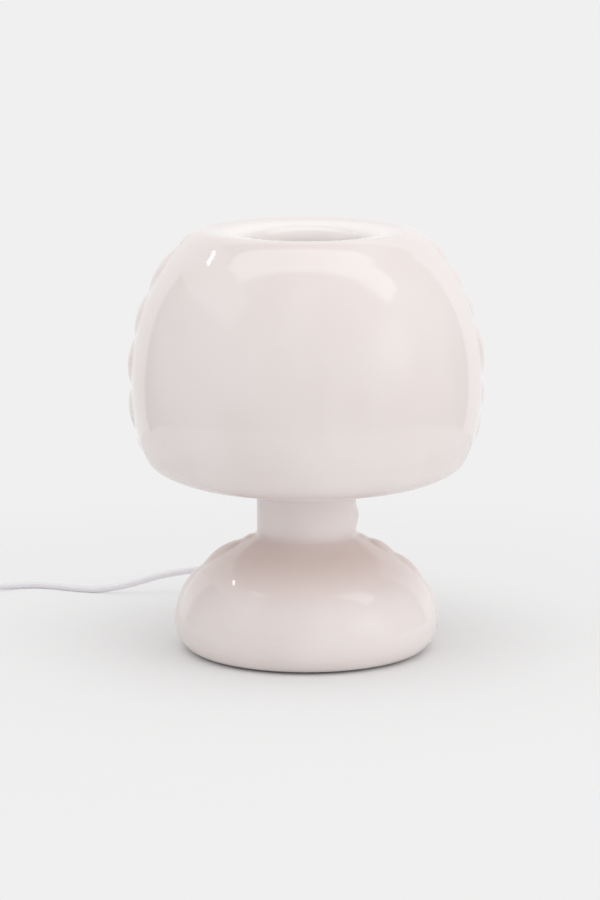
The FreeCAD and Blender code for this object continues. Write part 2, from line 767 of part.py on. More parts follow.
def make_switch_cover():
    """Upper half of the switch, with the rocker's window and the bearings for its pins."""
    plan = switch_outline(SWITCH_WIDTH, SWITCH_END_WIDTH, SWITCH_LENGTH)
    top = SWITCH_BASE_HEIGHT + SWITCH_COVER_HEIGHT
    body = plan.extrude(UP * SWITCH_COVER_HEIGHT)
    body.translate(V(0, 0, SWITCH_BASE_HEIGHT))
    body = round_top(body, top)
    bearing_r = ROCKER_PIN_R + ROCKER_PIN_CLEAR
    bearing_length = ROCKER_WIDTH + 2 * (ROCKER_PIN_REACH + ROCKER_CLEAR)
    bearing = Part.makeCylinder(
        bearing_r, bearing_length, V(0, -bearing_length / 2, ROCKER_PIVOT_Z), BACK
    )
    cuts = [switch_cavity(SWITCH_BASE_HEIGHT, SWITCH_COVER_HEIGHT), bearing]
    for place in switch_screw_places():
        start = place + UP * SWITCH_BASE_HEIGHT
        cuts.append(Part.makeCylinder(SWITCH_SCREW_R, SWITCH_SCREW_BITE, start))
    return placed(body.cut(cuts), SWITCH_X, SWITCH_Y, SWITCH_HEADING)


def make_rocker():
    """Shallow V-topped key on two stub pins, resting in its off position."""
    half = ROCKER_LENGTH / 2
    top = ROCKER_PIVOT_Z + ROCKER_RISE
    dip = ROCKER_PIVOT_Z + ROCKER_RISE - half * math.tan(math.radians(ROCKER_TILT))
    bottom = ROCKER_PIVOT_Z - ROCKER_DEPTH
    side = -ROCKER_WIDTH / 2
    corners = [
        V(-half, side, top),
        V(-half, side, ROCKER_PIVOT_Z),
        V(-half / 2, side, bottom),
        V(half / 2, side, bottom),
        V(half, side, ROCKER_PIVOT_Z),
        V(half, side, top),
        V(0, side, dip),
    ]
    key = Part.Face(Part.makePolygon(corners + corners[:1])).extrude(BACK * ROCKER_WIDTH)
    pin_length = ROCKER_WIDTH + 2 * ROCKER_PIN_REACH
    pins = Part.makeCylinder(ROCKER_PIN_R, pin_length, V(0, -pin_length / 2, ROCKER_PIVOT_Z), BACK)
    rocker = key.fuse(pins).removeSplitter()
    rocker.rotate(V(0, 0, ROCKER_PIVOT_Z), BACK, -ROCKER_TILT)
    return placed(rocker, SWITCH_X, SWITCH_Y, SWITCH_HEADING)


def make_switch_contacts():
    length, width, height = CONTACT_STRIP
    strips = [
        Part.makeBox(length, width, height, V(x - length / 2, -width / 2, SWITCH_WALL))
        for x in (-(length + CONTACT_STRIP_GAP) / 2, (length + CONTACT_STRIP_GAP) / 2)
    ]
    return placed(Part.makeCompound(strips), SWITCH_X, SWITCH_Y, SWITCH_HEADING)


def make_switch_screws():
    head_z = SWITCH_WALL / 2
    length = SWITCH_BASE_HEIGHT + SWITCH_SCREW_BITE - head_z
    screws = []
    for place in switch_screw_places():
        screws.append(Part.makeCylinder(SWITCH_SCREW_R, length, place + UP * head_z))
    return placed(Part.makeCompound(screws), SWITCH_X, SWITCH_Y, SWITCH_HEADING)


# Coil of the put-away length: two layers of turns, the upper in the grooves of the lower
COIL_Z = TIE_THICK
COIL_LAYER = CORD_R * math.sqrt(3)
COIL_HALF_WIDTH = COIL_BOTTOM_TURNS * CORD_R
COIL_HEIGHT = COIL_LAYER + 2 * CORD_R
COIL_TURNS = 2 * COIL_BOTTOM_TURNS - 1


def make_coil():
    """Outer shape of the coil, as one closed ring."""
    low = COIL_R - COIL_HALF_WIDTH
    high = COIL_R + COIL_HALF_WIDTH
    top = COIL_Z + COIL_HEIGHT
    middle = COIL_Z + CORD_R
    upper_low = low + CORD_R
    upper_high = high - CORD_R
    bulge = CORD_R * math.sqrt(0.5)
    outer_low = Part.Arc(
        V(low + CORD_R, 0, COIL_Z),
        V(low + CORD_R - bulge, 0, middle - bulge),
        V(low, 0, middle),
    )
    outer_high = Part.Arc(
        V(high, 0, middle),
        V(high - CORD_R + bulge, 0, middle - bulge),
        V(high - CORD_R, 0, COIL_Z),
    )
    edges = chain(outer_low, V(upper_low, 0, top), V(upper_high, 0, top), outer_high)
    coil = edges.revolve(V(0, 0, 0), UP, 360)
    coil.translate(V(COIL_X, COIL_Y, 0))
    return coil


def make_tie():
    """Strap round the coil, which it lifts off the floor by its own thickness."""
    low = COIL_R - COIL_HALF_WIDTH - TIE_CLEAR
    high = COIL_R + COIL_HALF_WIDTH + TIE_CLEAR
    height = COIL_HEIGHT + TIE_CLEAR
    outer = Part.makeBox(
        high - low + 2 * TIE_THICK,
        TIE_WIDTH,
        height + 2 * TIE_THICK,
        V(low - TIE_THICK, -TIE_WIDTH / 2, COIL_Z - TIE_THICK),
    )
    inner = Part.makeBox(high - low, TIE_WIDTH, height, V(low, -TIE_WIDTH / 2, COIL_Z))
    tie = outer.cut(inner)
    tie.translate(V(COIL_X, COIL_Y, 0))
    return tie


def make_plug_body():
    """Flat two-pin plug: the plan and the side view, extruded and met, with a tapered sleeve."""
    start = PLUG_SLEEVE_LENGTH
    end = start + PLUG_LENGTH
    front = end - PLUG_FRONT
    plan = [
        V(start, -PLUG_TAIL_WIDTH / 2, 0),
        V(front, -PLUG_WIDTH / 2, 0),
        V(end, -PLUG_WIDTH / 2, 0),
        V(end, PLUG_WIDTH / 2, 0),
        V(front, PLUG_WIDTH / 2, 0),
        V(start, PLUG_TAIL_WIDTH / 2, 0),
    ]
    axis_z = PLUG_THICK / 2
    side = [
        V(start, -PLUG_WIDTH, axis_z - PLUG_TAIL_THICK / 2),
        V(front, -PLUG_WIDTH, 0),
        V(end, -PLUG_WIDTH, 0),
        V(end, -PLUG_WIDTH, PLUG_THICK),
        V(front, -PLUG_WIDTH, PLUG_THICK),
        V(start, -PLUG_WIDTH, axis_z + PLUG_TAIL_THICK / 2),
    ]
    face = [
        V(0, -PLUG_WIDTH / 2, axis_z),
        V(0, -PLUG_WIDTH / 2 + PLUG_EDGE, 0),
        V(0, PLUG_WIDTH / 2 - PLUG_EDGE, 0),
        V(0, PLUG_WIDTH / 2, axis_z),
        V(0, PLUG_WIDTH / 2 - PLUG_EDGE, PLUG_THICK),
        V(0, -PLUG_WIDTH / 2 + PLUG_EDGE, PLUG_THICK),
    ]
    from_plan = Part.Face(Part.makePolygon(plan + plan[:1])).extrude(UP * PLUG_THICK)
    from_side = Part.Face(Part.makePolygon(side + side[:1])).extrude(BACK * 2 * PLUG_WIDTH)
    from_face = Part.Face(Part.makePolygon(face + face[:1])).extrude(V(end, 0, 0))
    sleeve = Part.makeCone(
        PLUG_SLEEVE_TIP_R, PLUG_SLEEVE_R, PLUG_SLEEVE_LENGTH, V(0, 0, axis_z), V(1, 0, 0)
    )
    body = from_plan.common(from_side).common(from_face).fuse(sleeve).removeSplitter()
    return placed(body, PLUG_X, PLUG_Y, PLUG_HEADING)


def plug_pin_starts():
    face_x = PLUG_SLEEVE_LENGTH + PLUG_LENGTH
    return [V(face_x, y, PLUG_THICK / 2) for y in (-PLUG_PIN_SPACING / 2, PLUG_PIN_SPACING / 2)]


def make_plug_pins():
    """Two round pins, thinner where the insulating collars sit, with rounded tips."""
    along = V(1, 0, 0)
    pins = []
    for start in plug_pin_starts():
        core = Part.makeCylinder(PLUG_PIN_R - PLUG_COLLAR_WALL, PLUG_COLLAR_LENGTH, start, along)
        bare_start = start + along * PLUG_COLLAR_LENGTH
        bare_length = PLUG_PIN_LENGTH - PLUG_COLLAR_LENGTH - PLUG_PIN_R
        bare = Part.makeCylinder(PLUG_PIN_R, bare_length, bare_start, along)
        tip = Part.makeSphere(PLUG_PIN_R, bare_start + along * bare_length)
        pins.append(core.fuse([bare, tip]).removeSplitter())
    return placed(Part.makeCompound(pins), PLUG_X, PLUG_Y, PLUG_HEADING)


def make_plug_collars():
    along = V(1, 0, 0)
    collars = []
    for start in plug_pin_starts():
        outer = Part.makeCylinder(PLUG_PIN_R, PLUG_COLLAR_LENGTH, start, along)
        inner = Part.makeCylinder(PLUG_PIN_R - PLUG_COLLAR_WALL, PLUG_COLLAR_LENGTH, start, along)
        collars.append(outer.cut(inner))
    return placed(Part.makeCompound(collars), PLUG_X, PLUG_Y, PLUG_HEADING)


def lamp_run_points(exit_y):
    """From the gland, round behind the base and down to the floor, then left to the switch."""
    end = heading_point(SWITCH_X, SWITCH_Y, SWITCH_BASE_HEIGHT, SWITCH_HEADING, -SWITCH_LENGTH / 2)
    before_end = heading_point(end.x, end.y, end.z, SWITCH_HEADING, -14)
    return [
        V(0, exit_y, CORD_EXIT_Z),
        V(0, exit_y + 14, CORD_EXIT_Z),
        V(-7, exit_y + 30, CORD_EXIT_Z - 0.4),
        V(-20, exit_y + 42, CORD_EXIT_Z - 1.2),
        V(-38, exit_y + 48.5, 21.8),
        V(-63, 170, 20),
        V(-90, 168.5, 17.2),
        V(-112, 167, 13.8),
        V(-134.5, 167, 6.5),
        V(-157, 167, CORD_FLOOR_Z),
        V(-174, 171, CORD_FLOOR_Z),
        V(-197, 182.5, CORD_FLOOR_Z),
        V(-215, 184, CORD_FLOOR_Z),
        V(-234, 175, 3.2),
        V(-250, 164.5, 5.6),
        before_end,
        end,
    ]


def coil_run_points():
    """From the switch to the outer turn at the coil's left."""
    start = heading_point(SWITCH_X, SWITCH_Y, SWITCH_BASE_HEIGHT, SWITCH_HEADING, SWITCH_LENGTH / 2)
    after = heading_point(start.x, start.y, start.z, SWITCH_HEADING, 10)
    outer_turn = COIL_R + COIL_HALF_WIDTH - CORD_R
    level = COIL_Z + CORD_R
    return [
        start,
        after,
        V(-316, 65.5, 5.6),
        V(-323.5, 49.5, 3.8),
        V(COIL_X - outer_turn, COIL_Y, level),
    ]


def tail_points():
    """From the top layer at the coil's left, over the outer turn and down to the plug."""
    top_turn = COIL_R + COIL_HALF_WIDTH - 2 * CORD_R
    level = COIL_Z + CORD_R + COIL_LAYER
    plug_z = PLUG_THICK / 2
    return [
        V(COIL_X - top_turn, COIL_Y - 1, level),
        V(COIL_X - top_turn - 0.2, COIL_Y - 13, level + 0.9),
        V(COIL_X - top_turn + 1.5, COIL_Y - 27, level + 0.7),
        heading_point(PLUG_X, PLUG_Y, plug_z, PLUG_HEADING, -13),
        V(PLUG_X, PLUG_Y, plug_z),
    ]


def main():
    os.makedirs("parts", exist_ok=True)
    base_glass, base_trails, wall_r = make_base()
    shade_glass, shade_trails = make_shade()
    save("base_glass", base_glass)
    save("base_trails", base_trails)
    save("shade_glass", shade_glass)
    save("shade_trails", shade_trails)

    places = [
        (-STRAP_SCREW_X, 0),
        (STRAP_SCREW_X, 0),
        (-CLAMP_SCREW_X, CLAMP_Y),
        (CLAMP_SCREW_X, CLAMP_Y),
    ]
    nut_seat = PLATE_TOP_Z + STRAP_THICK
    save("felt_ring", ring(FELT_IN_R, PLATE_R, 0, FELT_HEIGHT))
    save("base_plate", make_plate(places))
    save("base_seal", ring(SEAL_IN_R, PLATE_R, PLATE_TOP_Z, BASE_SEAT_Z - PLATE_TOP_Z))
    save("tube_strap", make_strap())
    save("base_screws", Part.makeCompound([screw(x, y) for x, y in places]))
    save("base_nuts", Part.makeCompound([screw_nut(x, y, nut_seat) for x, y in places]))
    save("threaded_tube", make_tube())
    nut_seats = (STRAP_UNDER_Z - TUBE_NUT_HEIGHT, STRAP_TOP_Z + WASHER_THICK, CAP_NUT_Z)
    save("tube_nuts", Part.makeCompound([tube_nut(z) for z in nut_seats]))
    washers = [
        ring(TUBE_R + TUBE_CLEAR, WASHER_R, z, WASHER_THICK) for z in (STRAP_TOP_Z, CAP_TOP_Z)
    ]
    save("tube_washers", Part.makeCompound(washers))

    save("neck_seal", ring(NECK_IN_R, NECK_R, NECK_TOP_Z, NECK_SEAL_THICK))
    save("neck_cap", make_neck_cap())
    save("shade_gasket", ring(SHADE_HOLE_R, GASKET_R, CAP_TOP_Z, GASKET_THICK))
    save("lampholder_base", make_holder_base())
    save("lampholder_shell", make_holder_shell())
    save("lampholder_insert", make_holder_insert())
    save("lampholder_contacts", make_holder_contacts())

    save("bulb_tip", make_bulb_tip())
    save("bulb_insulator", make_bulb_insulator())
    save("bulb_cap", make_bulb_cap())
    save("bulb_collar", make_bulb_collar())
    save("bulb_glass", make_bulb_glass())

    gland, inner_end, exit_y = make_gland(wall_r, base_glass)
    save("cord_gland", gland)
    save("cord_clamp", make_clamp())
    save("inner_lead", make_inner_lead(inner_end)[0])

    save("switch_base", make_switch_base())
    save("switch_cover", make_switch_cover())
    save("switch_rocker", make_rocker())
    save("switch_contacts", make_switch_contacts())
    save("switch_screws", make_switch_screws())

    lamp_run, lamp_length = route("cord to the switch", lamp_run_points(exit_y))
    coil_run, coil_length = route("cord to the coil", coil_run_points())
    tail, tail_length = route("cord to the plug", tail_points())
    save("cord_lamp_run", lamp_run)
    save("cord_coil_run", coil_run)
    save("cord_tail", tail)
    save("cord_coil", make_coil())
    save("cord_tie", make_tie())
    save("plug_body", make_plug_body())
    save("plug_pins", make_plug_pins())
    save("plug_collars", make_plug_collars())
    wound = COIL_TURNS * 2 * math.pi * COIL_R
    total = lamp_length + coil_length + tail_length + wound + SWITCH_LENGTH
    print("cord exit y %.2f, cord length with the coil %.0f" % (exit_y, total))


main()
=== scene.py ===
"""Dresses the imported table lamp: blown opal glass, cord, fittings and a pale studio."""
import json
import math

import bmesh
import bpy
from bpy.props import FloatProperty, FloatVectorProperty, IntProperty, PointerProperty
from mathutils import Matrix, Vector


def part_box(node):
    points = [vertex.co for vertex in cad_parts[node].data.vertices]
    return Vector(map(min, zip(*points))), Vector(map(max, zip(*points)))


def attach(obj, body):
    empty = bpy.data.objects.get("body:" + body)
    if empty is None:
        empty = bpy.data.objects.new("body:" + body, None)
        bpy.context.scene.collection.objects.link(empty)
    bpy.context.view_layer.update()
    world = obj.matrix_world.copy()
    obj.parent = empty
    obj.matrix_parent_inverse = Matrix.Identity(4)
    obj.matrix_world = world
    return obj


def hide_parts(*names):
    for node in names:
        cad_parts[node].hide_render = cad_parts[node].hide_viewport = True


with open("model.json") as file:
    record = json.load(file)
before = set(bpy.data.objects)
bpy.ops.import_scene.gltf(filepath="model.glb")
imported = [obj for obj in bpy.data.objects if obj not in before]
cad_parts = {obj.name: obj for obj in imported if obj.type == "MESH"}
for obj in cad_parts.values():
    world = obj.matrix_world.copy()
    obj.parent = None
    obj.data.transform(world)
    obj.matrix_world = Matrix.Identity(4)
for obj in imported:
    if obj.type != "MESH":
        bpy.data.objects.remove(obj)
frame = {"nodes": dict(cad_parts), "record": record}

bl_info = {
    "name": "Opal Glass Table Lamp",
    "version": (1, 0, 0),
    "blender": (4, 5, 0),
    "location": "View3D > Sidebar > Lamp",
    "description": "Blown glass, fittings, cord and studio for a mushroom table lamp",
    "category": "Object",
}

MM = 0.001
UP = Vector((0, 0, 1))
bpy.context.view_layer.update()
GLAND_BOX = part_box("cord_gland")
COIL_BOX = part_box("cord_coil")


# ---------------------------------------------------------------- sizes and colours

class LampGlassSizes(bpy.types.PropertyGroup):
    wall: FloatProperty(
        name="Wall", description="Thickness of the blown glass", default=4 * MM, unit="LENGTH"
    )
    trail_root: FloatProperty(
        name="Trail root", description="Depth of a trail's own axis under the glass",
        default=24 * MM, unit="LENGTH",
    )
    trail_nip: FloatProperty(
        name="Trail nip", description="How far a trail stands out where it is nipped",
        default=0.35 * MM, unit="LENGTH",
    )
    trail_rise: FloatProperty(
        name="Trail rise", description="Swelling between two nips, as a share of their distance",
        default=0.11,
    )


class LampCordSizes(bpy.types.PropertyGroup):
    radius: FloatProperty(
        name="Radius", description="Radius of the round cord", default=2.5 * MM, unit="LENGTH"
    )
    coil_steps: IntProperty(
        name="Coil steps", description="Points of the cord for each turn of the coil", default=16
    )


class LampStageSizes(bpy.types.PropertyGroup):
    distance: FloatProperty(
        name="Camera distance", description="From the lamp's axis to the camera",
        default=2.4, unit="LENGTH",
    )
    height: FloatProperty(
        name="Camera height", description="Height of the camera above the floor",
        default=0.5954, unit="LENGTH",
    )
    floor_colour: FloatVectorProperty(
        name="Floor", description="Colour of the floor and backdrop", subtype="COLOR",
        default=(0.871, 0.871, 0.871), min=0, max=1,
    )


SETTINGS = (
    ("lamp_glass", LampGlassSizes),
    ("lamp_cord", LampCordSizes),
    ("lamp_stage", LampStageSizes),
)


# ---------------------------------------------------------------- shader graphs

class Value:
    """A number that varies over a surface: arithmetic on it adds Math nodes."""

    def __init__(self, recipe, socket):
        self.recipe = recipe
        self.socket = socket

    def math(self, operation, *others):
        return self.recipe.node("ShaderNodeMath", {"operation": operation}, self, *others)

    def __add__(self, other):
        return self.math("ADD", other)

    def __mul__(self, other):
        return self.math("MULTIPLY", other)

    def __sub__(self, other):
        return self.math("SUBTRACT", other)

    def __rsub__(self, other):
        return self.recipe.node("ShaderNodeMath", {"operation": "SUBTRACT"}, other, self)

    __radd__ = __add__
    __rmul__ = __mul__


class Recipe:
    """The node graph of one material."""

    def __init__(self, name):
        self.material = bpy.data.materials.new(name)
        self.material.use_nodes = True
        self.tree = self.material.node_tree
        self.tree.nodes.clear()
        self.output = self.tree.nodes.new("ShaderNodeOutputMaterial")
        self.place = self.tree.nodes.new("ShaderNodeTexCoord").outputs["Object"]

    def node(self, kind, settings, *values, output=0, **named):
        """Adds a node: its settings first, then its inputs by order or by name."""
        made = self.tree.nodes.new(kind)
        for key, value in settings.items():
            setattr(made, key, value)
        for key, value in enumerate(values):
            self.feed(made.inputs[key], value)
        for key, value in named.items():
            self.feed(made.inputs[key.replace("_", " ")], value)
        return Value(self, made.outputs[output])

    def feed(self, socket, value):
        if isinstance(value, Value):
            self.tree.links.new(value.socket, socket)
        elif isinstance(value, bpy.types.NodeSocket):
            self.tree.links.new(value, socket)
        elif socket.type == "RGBA" and len(value) == 3:
            socket.default_value = (*value, 1.0)
        else:
            socket.default_value = value

    def noise(self, scale, detail=2.0, roughness=0.5, stretch=(1, 1, 1)):
        spot = self.node("ShaderNodeMapping", {}, self.place, Scale=stretch)
        return self.node(
            "ShaderNodeTexNoise", {}, Vector=spot, Scale=scale, Detail=detail, Roughness=roughness
        )

    def blend(self, factor, first, second):
        """Mixes two colours."""
        made = self.tree.nodes.new("ShaderNodeMix")
        made.data_type = "RGBA"
        self.feed(made.inputs["Factor"], factor)
        self.feed(made.inputs["A"], first)
        self.feed(made.inputs["B"], second)
        return Value(self, made.outputs["Result"])

    def ramp(self, value, low, high):
        """0 below low, 1 above high and a smooth step between them."""
        return self.node(
            "ShaderNodeMapRange", {"interpolation_type": "SMOOTHSTEP"}, value, low, high, 0.0, 1.0
        )

    def bump(self, height, distance, strength):
        return self.node(
            "ShaderNodeBump", {}, Height=height, Distance=distance, Strength=strength
        )

    def finish(self, **surface):
        """Ends the graph in one Principled shader."""
        shader = self.node("ShaderNodeBsdfPrincipled", {}, **surface)
        self.tree.links.new(shader.socket, self.output.inputs["Surface"])
        return self.material


# heights, and distances from the axis, between which painted shade deepens the base's dome and
# painted light brightens the shade's mouth, in metres
DOME_START = (0.035, 0.075)
DOME_END = (0.074, 0.094)
MOUTH_HEIGHT = (0.255, 0.27)
MOUTH_REACH = (0.05, 0.068)


def opal_glass(name, colour):
    """Blown opal glass: cloudy density, faint waves of the hot wall, a hard polished surface.

    It is painted deeper and warmer on the base's dome, as shade cast by the shade above, and
    painted paler inside the shade's mouth, as light.
    """
    recipe = Recipe(name)
    cloud = recipe.noise(9.0, detail=3.0)
    streak = recipe.noise(16.0, detail=2.0, stretch=(1, 1, 0.25))
    wave = recipe.noise(18.0, detail=1.0)
    fine = recipe.noise(55.0, detail=1.0)
    pale = tuple(min(1.0, c * 1.03) for c in colour)
    deep = (colour[0] * 0.975, colour[1] * 0.965, colour[2] * 0.96)
    # painted shade: a deeper, warmer copy of the colour for the dome under the shade
    painted_dome_shade = (colour[0] * 0.92, colour[1] * 0.85, colour[2] * 0.81)
    # painted light: a paler copy of the colour inside the shade's mouth, where light comes in
    painted_mouth_light = (colour[0] * 1.13, colour[1] * 1.17, colour[2] * 1.17)
    density = recipe.ramp(cloud * 0.6 + streak * 0.4, 0.35, 0.65)
    height = recipe.node("ShaderNodeSeparateXYZ", {}, recipe.place, output=2)
    # where the painted shade lies: from the lower dome to just above the neck's foot
    dome_shade_mask = recipe.ramp(height, *DOME_START) * (1.0 - recipe.ramp(height, *DOME_END))
    flat = recipe.node("ShaderNodeVectorMath", {"operation": "MULTIPLY"}, recipe.place, (1, 1, 0))
    away = recipe.node("ShaderNodeVectorMath", {"operation": "LENGTH"}, flat, output=1)
    # where the painted light lies: high up and near the axis, at the rolled mouth
    mouth = recipe.ramp(height, *MOUTH_HEIGHT) * (1.0 - recipe.ramp(away, *MOUTH_REACH))
    tinted = recipe.blend(dome_shade_mask, recipe.blend(density, deep, pale), painted_dome_shade)
    return recipe.finish(
        Base_Color=recipe.blend(mouth, tinted, painted_mouth_light),
        Roughness=recipe.ramp(fine, 0.3, 0.8) * 0.03 + 0.05,
        IOR=1.5,
        Normal=recipe.bump(wave * 0.85 + fine * 0.15, 0.0016, 0.4),
    )


def plastic(name, colour, roughness, grain=900.0, depth=0.00005):
    """Moulded plastic with the fine grain of its tool and slight handling marks."""
    recipe = Recipe(name)
    tone = recipe.noise(40.0, detail=3.0)
    texture = recipe.noise(grain, detail=2.0)
    darker = tuple(c * 0.96 for c in colour)
    return recipe.finish(
        Base_Color=recipe.blend(recipe.ramp(tone, 0.35, 0.7), darker, colour),
        Roughness=recipe.ramp(tone, 0.2, 0.8) * 0.08 + roughness,
        Normal=recipe.bump(texture, depth, 0.6),
    )


def sheath(name, colour):
    """Smooth sheath of the cord, with the lay of its cores just showing through."""
    recipe = Recipe(name)
    tone = recipe.noise(60.0, detail=2.0)
    lay = recipe.noise(260.0, detail=1.0)
    darker = tuple(c * 0.95 for c in colour)
    return recipe.finish(
        Base_Color=recipe.blend(tone, darker, colour),
        Roughness=tone * 0.15 + 0.32,
        Normal=recipe.bump(lay, 0.0001, 0.5),
    )


def plated(name, colour, roughness, metallic=1.0):
    """Plated or bare sheet metal with a faint rolled grain."""
    recipe = Recipe(name)
    grain = recipe.noise(500.0, detail=3.0, stretch=(1, 1, 0.05))
    stain = recipe.noise(30.0, detail=3.0)
    darker = tuple(c * 0.82 for c in colour)
    return recipe.finish(
        Base_Color=recipe.blend(recipe.ramp(stain, 0.3, 0.8), darker, colour),
        Metallic=metallic,
        Roughness=recipe.ramp(grain, 0.2, 0.8) * 0.12 + roughness,
        Normal=recipe.bump(grain, 0.00004, 0.6),
    )


def felt(name, colour):
    """Pressed felt: short fibres over a dense mat."""
    recipe = Recipe(name)
    fibre = recipe.noise(700.0, detail=6.0, roughness=0.7)
    mat = recipe.noise(90.0, detail=4.0)
    lighter = tuple(c * 1.9 for c in colour)
    return recipe.finish(
        Base_Color=recipe.blend(fibre * 0.7 + mat * 0.3, colour, lighter),
        Roughness=0.95,
        Sheen_Weight=0.3,
        Normal=recipe.bump(fibre, 0.0006, 0.9),
    )


# maker, colour, and what the maker needs or does otherwise
FINISHES = {
    "blush_glass": (opal_glass, (0.825, 0.757, 0.744), {}),
    "felt": (felt, (0.035, 0.032, 0.03), {}),
    "zinc_steel": (plated, (0.62, 0.63, 0.65), {"roughness": 0.28}),
    "white_steel": (plated, (0.83, 0.80, 0.78), {"roughness": 0.35, "metallic": 0.0}),
    "seal_rubber": (plastic, (0.78, 0.76, 0.73), {"roughness": 0.55, "grain": 300.0}),
    "holder_white": (plastic, (0.82, 0.81, 0.79), {"roughness": 0.42}),
    "contact_brass": (plated, (0.72, 0.52, 0.22), {"roughness": 0.2}),
    "cap_nickel": (plated, (0.66, 0.64, 0.61), {"roughness": 0.22}),
    "insulator_black": (plastic, (0.02, 0.02, 0.022), {"roughness": 0.15}),
    "bulb_white": (plastic, (0.86, 0.86, 0.85), {"roughness": 0.25}),
    "bulb_opal": (plastic, (0.90, 0.89, 0.87), {"roughness": 0.18, "depth": 0.00001}),
    "cord_white": (sheath, (0.87, 0.85, 0.88), {}),
    "switch_white": (plastic, (0.82, 0.81, 0.82), {"roughness": 0.28}),
    "plug_white": (plastic, (0.81, 0.80, 0.82), {"roughness": 0.38}),
    "plug_collar_black": (plastic, (0.03, 0.03, 0.03), {"roughness": 0.4}),
}
SLOT_OF = {part["node"]: part["material_slot"] for part in frame["record"]["subparts"]}


def finish_of(slot):
    """The material of a slot, made when it is first asked for."""
    name = "finish_" + slot
    if name not in bpy.data.materials:
        maker, colour, values = FINISHES[slot]
        maker(name, colour, **values)
    return bpy.data.materials[name]


def dress(node):
    """Gives a CAD node's object the material of its slot."""
    piece = frame["nodes"][node]
    piece.data.materials.clear()
    piece.data.materials.append(finish_of(SLOT_OF[node]))


# ---------------------------------------------------------------- mesh helpers

def add_piece(name, form, body, *nodes):
    """Ends a bmesh as a smooth-shaded piece that rides on a body and stands for CAD nodes."""
    mesh = bpy.data.meshes.new(name)
    form.to_mesh(mesh)
    form.free()
    mesh.shade_smooth()
    piece = bpy.data.objects.new(name, mesh)
    bpy.context.scene.collection.objects.link(piece)
    return settle(piece, body, *nodes)


def settle(piece, body, *nodes):
    """Gives a piece its nodes' material, hides those nodes and sets the piece on its body."""
    slot = SLOT_OF[nodes[0]]
    piece.data.materials.append(finish_of(slot))
    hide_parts(*nodes)
    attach(piece, body)
    return piece


def crease(piece, degrees):
    """Keeps edges sharper than this angle crisp under smooth shading."""
    piece.data.set_sharp_from_angle(angle=math.radians(degrees))
    return piece


def smooth_line(points, spacing):
    """Points at most one spacing apart on a curve through the given radius and height pairs."""
    knots = [Vector(p) for p in points]
    gaps = [(b - a).length for a, b in zip(knots, knots[1:])]
    slopes = [(b - a) / gap for a, b, gap in zip(knots, knots[1:], gaps)]
    tangents = [slopes[0] * 1.5 - slopes[1] * 0.5]
    for before, after, first, second in zip(gaps, gaps[1:], slopes, slopes[1:]):
        tangents.append((first * after + second * before) / (before + after))
    tangents.append(slopes[-1] * 1.5 - slopes[-2] * 0.5)
    line = [knots[0]]
    for index, gap in enumerate(gaps):
        start, end = knots[index], knots[index + 1]
        steps = max(2, math.ceil(gap / spacing))
        for step in range(1, steps + 1):
            t = step / steps
            line.append(
                start * (2 * t**3 - 3 * t**2 + 1)
                + tangents[index] * gap * (t**3 - 2 * t**2 + t)
                + end * (3 * t**2 - 2 * t**3)
                + tangents[index + 1] * gap * (t**3 - t**2)
            )
    return line


def shares(start, end, pairs):
    """Points between two named ones, by shares of the way in radius and in height."""
    (r0, z0), (r1, z1) = start, end
    return [(r0 + (r1 - r0) * r, z0 + (z1 - z0) * z) for r, z in pairs]


def normals_of(line):
    """Unit normals of an outline, on the left of its way, which is outside the glass."""
    normals = []
    for index in range(len(line)):
        before = line[max(index - 1, 0)]
        after = line[min(index + 1, len(line) - 1)]
        along = (after - before).normalized()
        normals.append(Vector((-along.y, along.x)))
    return normals


def moved_in(line, distance):
    """An outline moved that far into the glass."""
    return [point - normal * distance for point, normal in zip(line, normals_of(line))]


MERGE = 5e-6
FLAT_DEGREES = 0.4
SHARP_DEGREES = 35.0


def eased_copy(node, body, bevel):
    """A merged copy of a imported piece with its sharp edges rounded, in the plain one's place."""
    form = bmesh.new()
    form.from_mesh(frame["nodes"][node].data)
    bmesh.ops.remove_doubles(form, verts=form.verts, dist=MERGE)
    bmesh.ops.dissolve_limit(
        form, angle_limit=math.radians(FLAT_DEGREES), verts=form.verts, edges=form.edges
    )
    piece = crease(add_piece(node + "_finished", form, body, node), SHARP_DEGREES)
    edge = piece.modifiers.new("edge", "BEVEL")
    edge.width = bevel
    edge.segments = 3
    edge.profile = 0.5
    edge.limit_method = "ANGLE"
    edge.angle_limit = math.radians(SHARP_DEGREES)
    edge.harden_normals = True
    return piece


# ---------------------------------------------------------------- stage and camera

SENSOR = 36.0
FOCAL_PIXELS = 3448.4
FRAME_HEIGHT = 900.0
PITCH = 10.683
AXIS_OFFSET = 4.6 * MM
WHITE = (1.0, 1.0, 1.0)
LAMP_MIDDLE = Vector((0.0, 0.0, 0.17))
AMBIENT = 0.81
ROOM = 0.40
# name, bearing from the camera's side, height angle, distance, width, height, brightness
SOFTBOXES = (
    ("overhead", -10.0, 72.0, 1.7, 1.7, 1.5, 0.86),
    ("window", 62.0, 10.0, 1.8, 1.2, 1.1, 1.2),
)
# the same, and the width of the soft edge
SHEENS = (
    ("backdrop", 180.0, 0.0, 1.0, 2.6, 3.6, 0.95, 0.03),
    ("left_panel", -92.0, 41.0, 1.6, 2.1, 0.65, 0.9, 0.03),
    ("overhead_sheen", -4.0, 81.0, 1.7, 4.4, 1.0, 1.9, 0.25),
    ("window_sheen", 60.0, 16.0, 1.8, 1.6, 1.6, 1.1, 0.7),
    ("glint", -117.0, 42.0, 1.5, 0.16, 0.06, 14.0, 0.02),
)
FLOOR_DEPTH = 0.98
FLOOR_RADIUS = 0.62
# the camera sees the floor fade in two steps: where each starts and ends
FLOOR_NEAR = (0.06, 0.30)
FLOOR_FAR = (0.30, 0.60)
FLOOR_SHARE = 0.6


